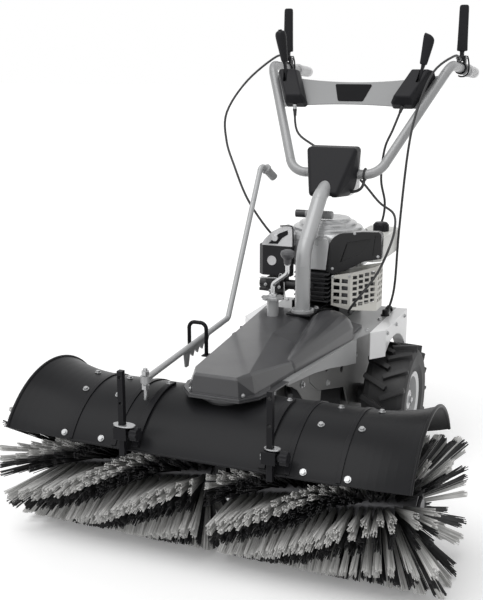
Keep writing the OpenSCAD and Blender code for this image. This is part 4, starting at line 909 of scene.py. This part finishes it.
# %% Starter rope
ROPE_EYE, ROPE_GRIP = spot(-25, -64, 704), spot(-25, -48, 704)
starter_rope = small_piece("starter_rope", None, "rubber", "soft_rubber",
                           wire([ROPE_EYE.lerp(ROPE_GRIP, k / 24) for k in range(25)], 2.4))
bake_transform(starter_rope)

# %% [markdown]
# ## Plates on the bar clamps
# Each accessory bar passes through a rounded zinc plate on top of its clamp. The plate has a square hole with a
# little play, since the bar slides through it. The outline is an oval, and the hole comes from skinning the plate as
# a closed ring between the two outlines.

# %% Clamp plates
CLAMP_X, CLAMP_Y = 176, -917
CLAMP_LOW, CLAMP_HIGH = 346.6, 349.4
HOLE_HALF, RIM_SHIFT = 7.6, 5


def clamp_plate(x, wide, deep):
    """The rings of a rounded sheet round a square hole."""
    rim, hole = [], []
    for a in turns(40, math.pi / 4):
        c, s = math.cos(a), math.sin(a)
        reach = HOLE_HALF / max(abs(c), abs(s))
        rim.append((x + RIM_SHIFT + wide * c, CLAMP_Y + deep * s))
        hole.append((x + reach * c, CLAMP_Y + reach * s))
    return [straight(*((*p, z) for p in ring))
            for ring, z in ((rim, CLAMP_LOW), (rim, CLAMP_HIGH), (hole, CLAMP_HIGH), (hole, CLAMP_LOW))]


small_piece("clamp_plates", "brush_head", "steel", "zinc_plate", clamp_plate(-CLAMP_X, 27, 15),
            clamp_plate(CLAMP_X, 18, 12), closed=True)

# %% [markdown]
# ## Cheeks under the nose
# Under the nose the two side plates reach forward as thin cheeks that close the frame over the brush. Their lower
# edge rises towards the front, because the hood swings underneath them. Each is one outline with a thickness.

# %% Frame cheeks
CHEEK_X, CHEEK_THICK = 108.5, 0.003
cheek = ((-636, 394), (-636, 386), (-600, 373), (-560, 352), (-522, 318), (-496, 292), (-470, 272), (-380, 262),
         (-372, 291.5), (-400.4, 299.2), (-470.6, 344.2), (-470.6, 394))
# The cheeks wear the darker copy of the lacquer: painted shade.
small_piece("frame_cheeks", "chassis", "deck_paint", "cheek_lacquer",
            *(plate([spot(side * CHEEK_X, y, z) for y, z in cheek], Vector((side * CHEEK_THICK, 0, 0)))
              for side in (-1, 1)), soften=0.0006)

# %% [markdown]
# ## Screws, nuts and rivets
# The same hexagon head with its washer turns up all over the machine. One head is modelled once, and a geometry tree
# sets it on every listed place: the place is a vertex, and the vertex carries the direction it faces and its size.
# A seeded turn keeps the hexagons from all pointing the same way.

# %% One screw head, in thousandths of its washer's radius
screw_head = bpy.data.objects.new("screw_head", skin_mesh("screw_head", [
    turned(Vector(), UP, ((0, 1000), (160, 1000), (220, 940)), sides=16),
    turned(Vector(), UP, ((200, 680), (700, 680), (800, 560)), sides=6)]))
print("screw head faces:", len(screw_head.data.polygons))

# %% The hardware tree


def hardware_tree():
    tree, given = geometry_tree("hardware_on_places", Head="Object", Material="Material", Seed="Int")
    facing = node_out(tree, "GeometryNodeInputNamedAttribute", data_type="FLOAT_VECTOR", Name="facing")
    width = node_out(tree, "GeometryNodeInputNamedAttribute", data_type="FLOAT", Name="width")
    aimed = node_out(tree, "FunctionNodeAlignRotationToVector", axis="Z", Vector=facing)
    head = node_out(tree, "GeometryNodeObjectInfo", Object=given["Head"], out="Geometry")
    copies = node_out(tree, "GeometryNodeInstanceOnPoints", Points=given["Geometry"], Instance=head, Rotation=aimed,
                      Scale=width)
    chance = add_node(tree, "FunctionNodeRandomValue", data_type="FLOAT", Seed=given["Seed"])
    chance.inputs[3].default_value = math.tau
    spin = node_out(tree, "ShaderNodeCombineXYZ", Z=chance.outputs[1])
    spun = node_out(tree, "GeometryNodeRotateInstances", Instances=copies, Rotation=spin)
    end_tree(tree, spun, given["Material"])
    return tree


hardware_on_places = hardware_tree()
print("hardware tree nodes:", len(hardware_on_places.nodes))

# %% Places of the hardware, in millimetres of the drawing


def mirrored(places):
    """The listed places and their mirror images on the other side."""
    return places + [((-p[0], p[1], p[2]), (-d[0], d[1], d[2]), w) for p, d, w in places]


def on_hood(x, angle, radius, width):
    a = math.radians(angle)
    c, s = math.cos(a), math.sin(a)
    return ((x, BRUSH_Y - radius * c, BRUSH_Z + radius * s), (0, -c, s), width)


def on_ring(centre, radius, count, facing, width, start=0.0):
    """Places on a circle about an upright axis or one along X."""
    spots = []
    for a in turns(count, start):
        c, s = radius * math.cos(a), radius * math.sin(a)
        flat = (centre[0] + c, centre[1] + s, centre[2])
        upright = (centre[0], centre[1] + c, centre[2] + s)
        spots.append((upright if facing[0] else flat, facing, width))
    return spots


hardware_places = {
    "chassis": mirrored([((212, y, 384), (1, 0, 0), 6.5) for y in (-84, 20, 124)]
                        + [((166, y, 398), UP, 6.5) for y in (-128, 0, 128)]
                        + [((112, y, z), (1, 0, 0), 9) for y, z in ((-531, 358), (-324, 298), (-60, 300))]
                        + [((60, y, 456), UP, 7) for y in (-84, 126)]
                        + [((64.5, -796.5, 409), (0.82, -0.57, 0), 5)])
    + on_ring((0, -210, 463), 27, 4, UP, 5, 0.4) + [((x, -160, 456), UP, 8) for x in (-24, 24)]
    + [((-112, -190, 450), UP, 6), ((-20, -190, 450), UP, 6)]
    + [((x, -125, z), FRONT, 4.2) for x, z in ((58, 566), (188, 610), (120, 670))]
    + [((x, -128, z), FRONT, 4.2) for x, z in ((60.5, 544), (109, 549))]
    + mirrored([((CLUTCH_PIN[0] + side * 13, *CLUTCH_PIN[1:]), (side, 0, 0), 6.5) for side in (-1, 1)]),
    "wheels": mirrored(on_ring((223, 0, 164), 48, 5, (1, 0, 0), 9.5, 0.3) + [((261.4, 0, 164), (1, 0, 0), 15)]),
    "brush_head": [on_hood(x, a, 214, 6.5) for x in (-152, 152) for a in (40, 90)]
    + [((x - 16, CLAMP_Y, 330), (-1, 0, 0), 7) for x in (-CLAMP_X, CLAMP_X)],
}


def hardware_mesh(name, places):
    """Loose vertices that carry their direction and size."""
    mesh = bpy.data.meshes.new(name)
    mesh.from_pydata([spot(*place) for place, _, _ in places], [], [])
    mesh.attributes.new("facing", "FLOAT_VECTOR", "POINT")
    mesh.attributes.new("width", "FLOAT", "POINT")
    for k, (_, direction, size) in enumerate(places):
        mesh.attributes["facing"].data[k].vector = direction
        mesh.attributes["width"].data[k].value = size / 1000
    return mesh


for seed, (body, places) in enumerate(hardware_places.items(), start=3):
    hardware = run_tree(f"{body}_hardware", hardware_on_places, hardware_mesh(f"{body}_places", places),
                        Head=screw_head, Seed=seed, Material=finishes["zinc_plate"])
    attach(hardware, body)
    print(hardware.name, "heads:", len(places), "faces:", len(hardware.data.polygons))
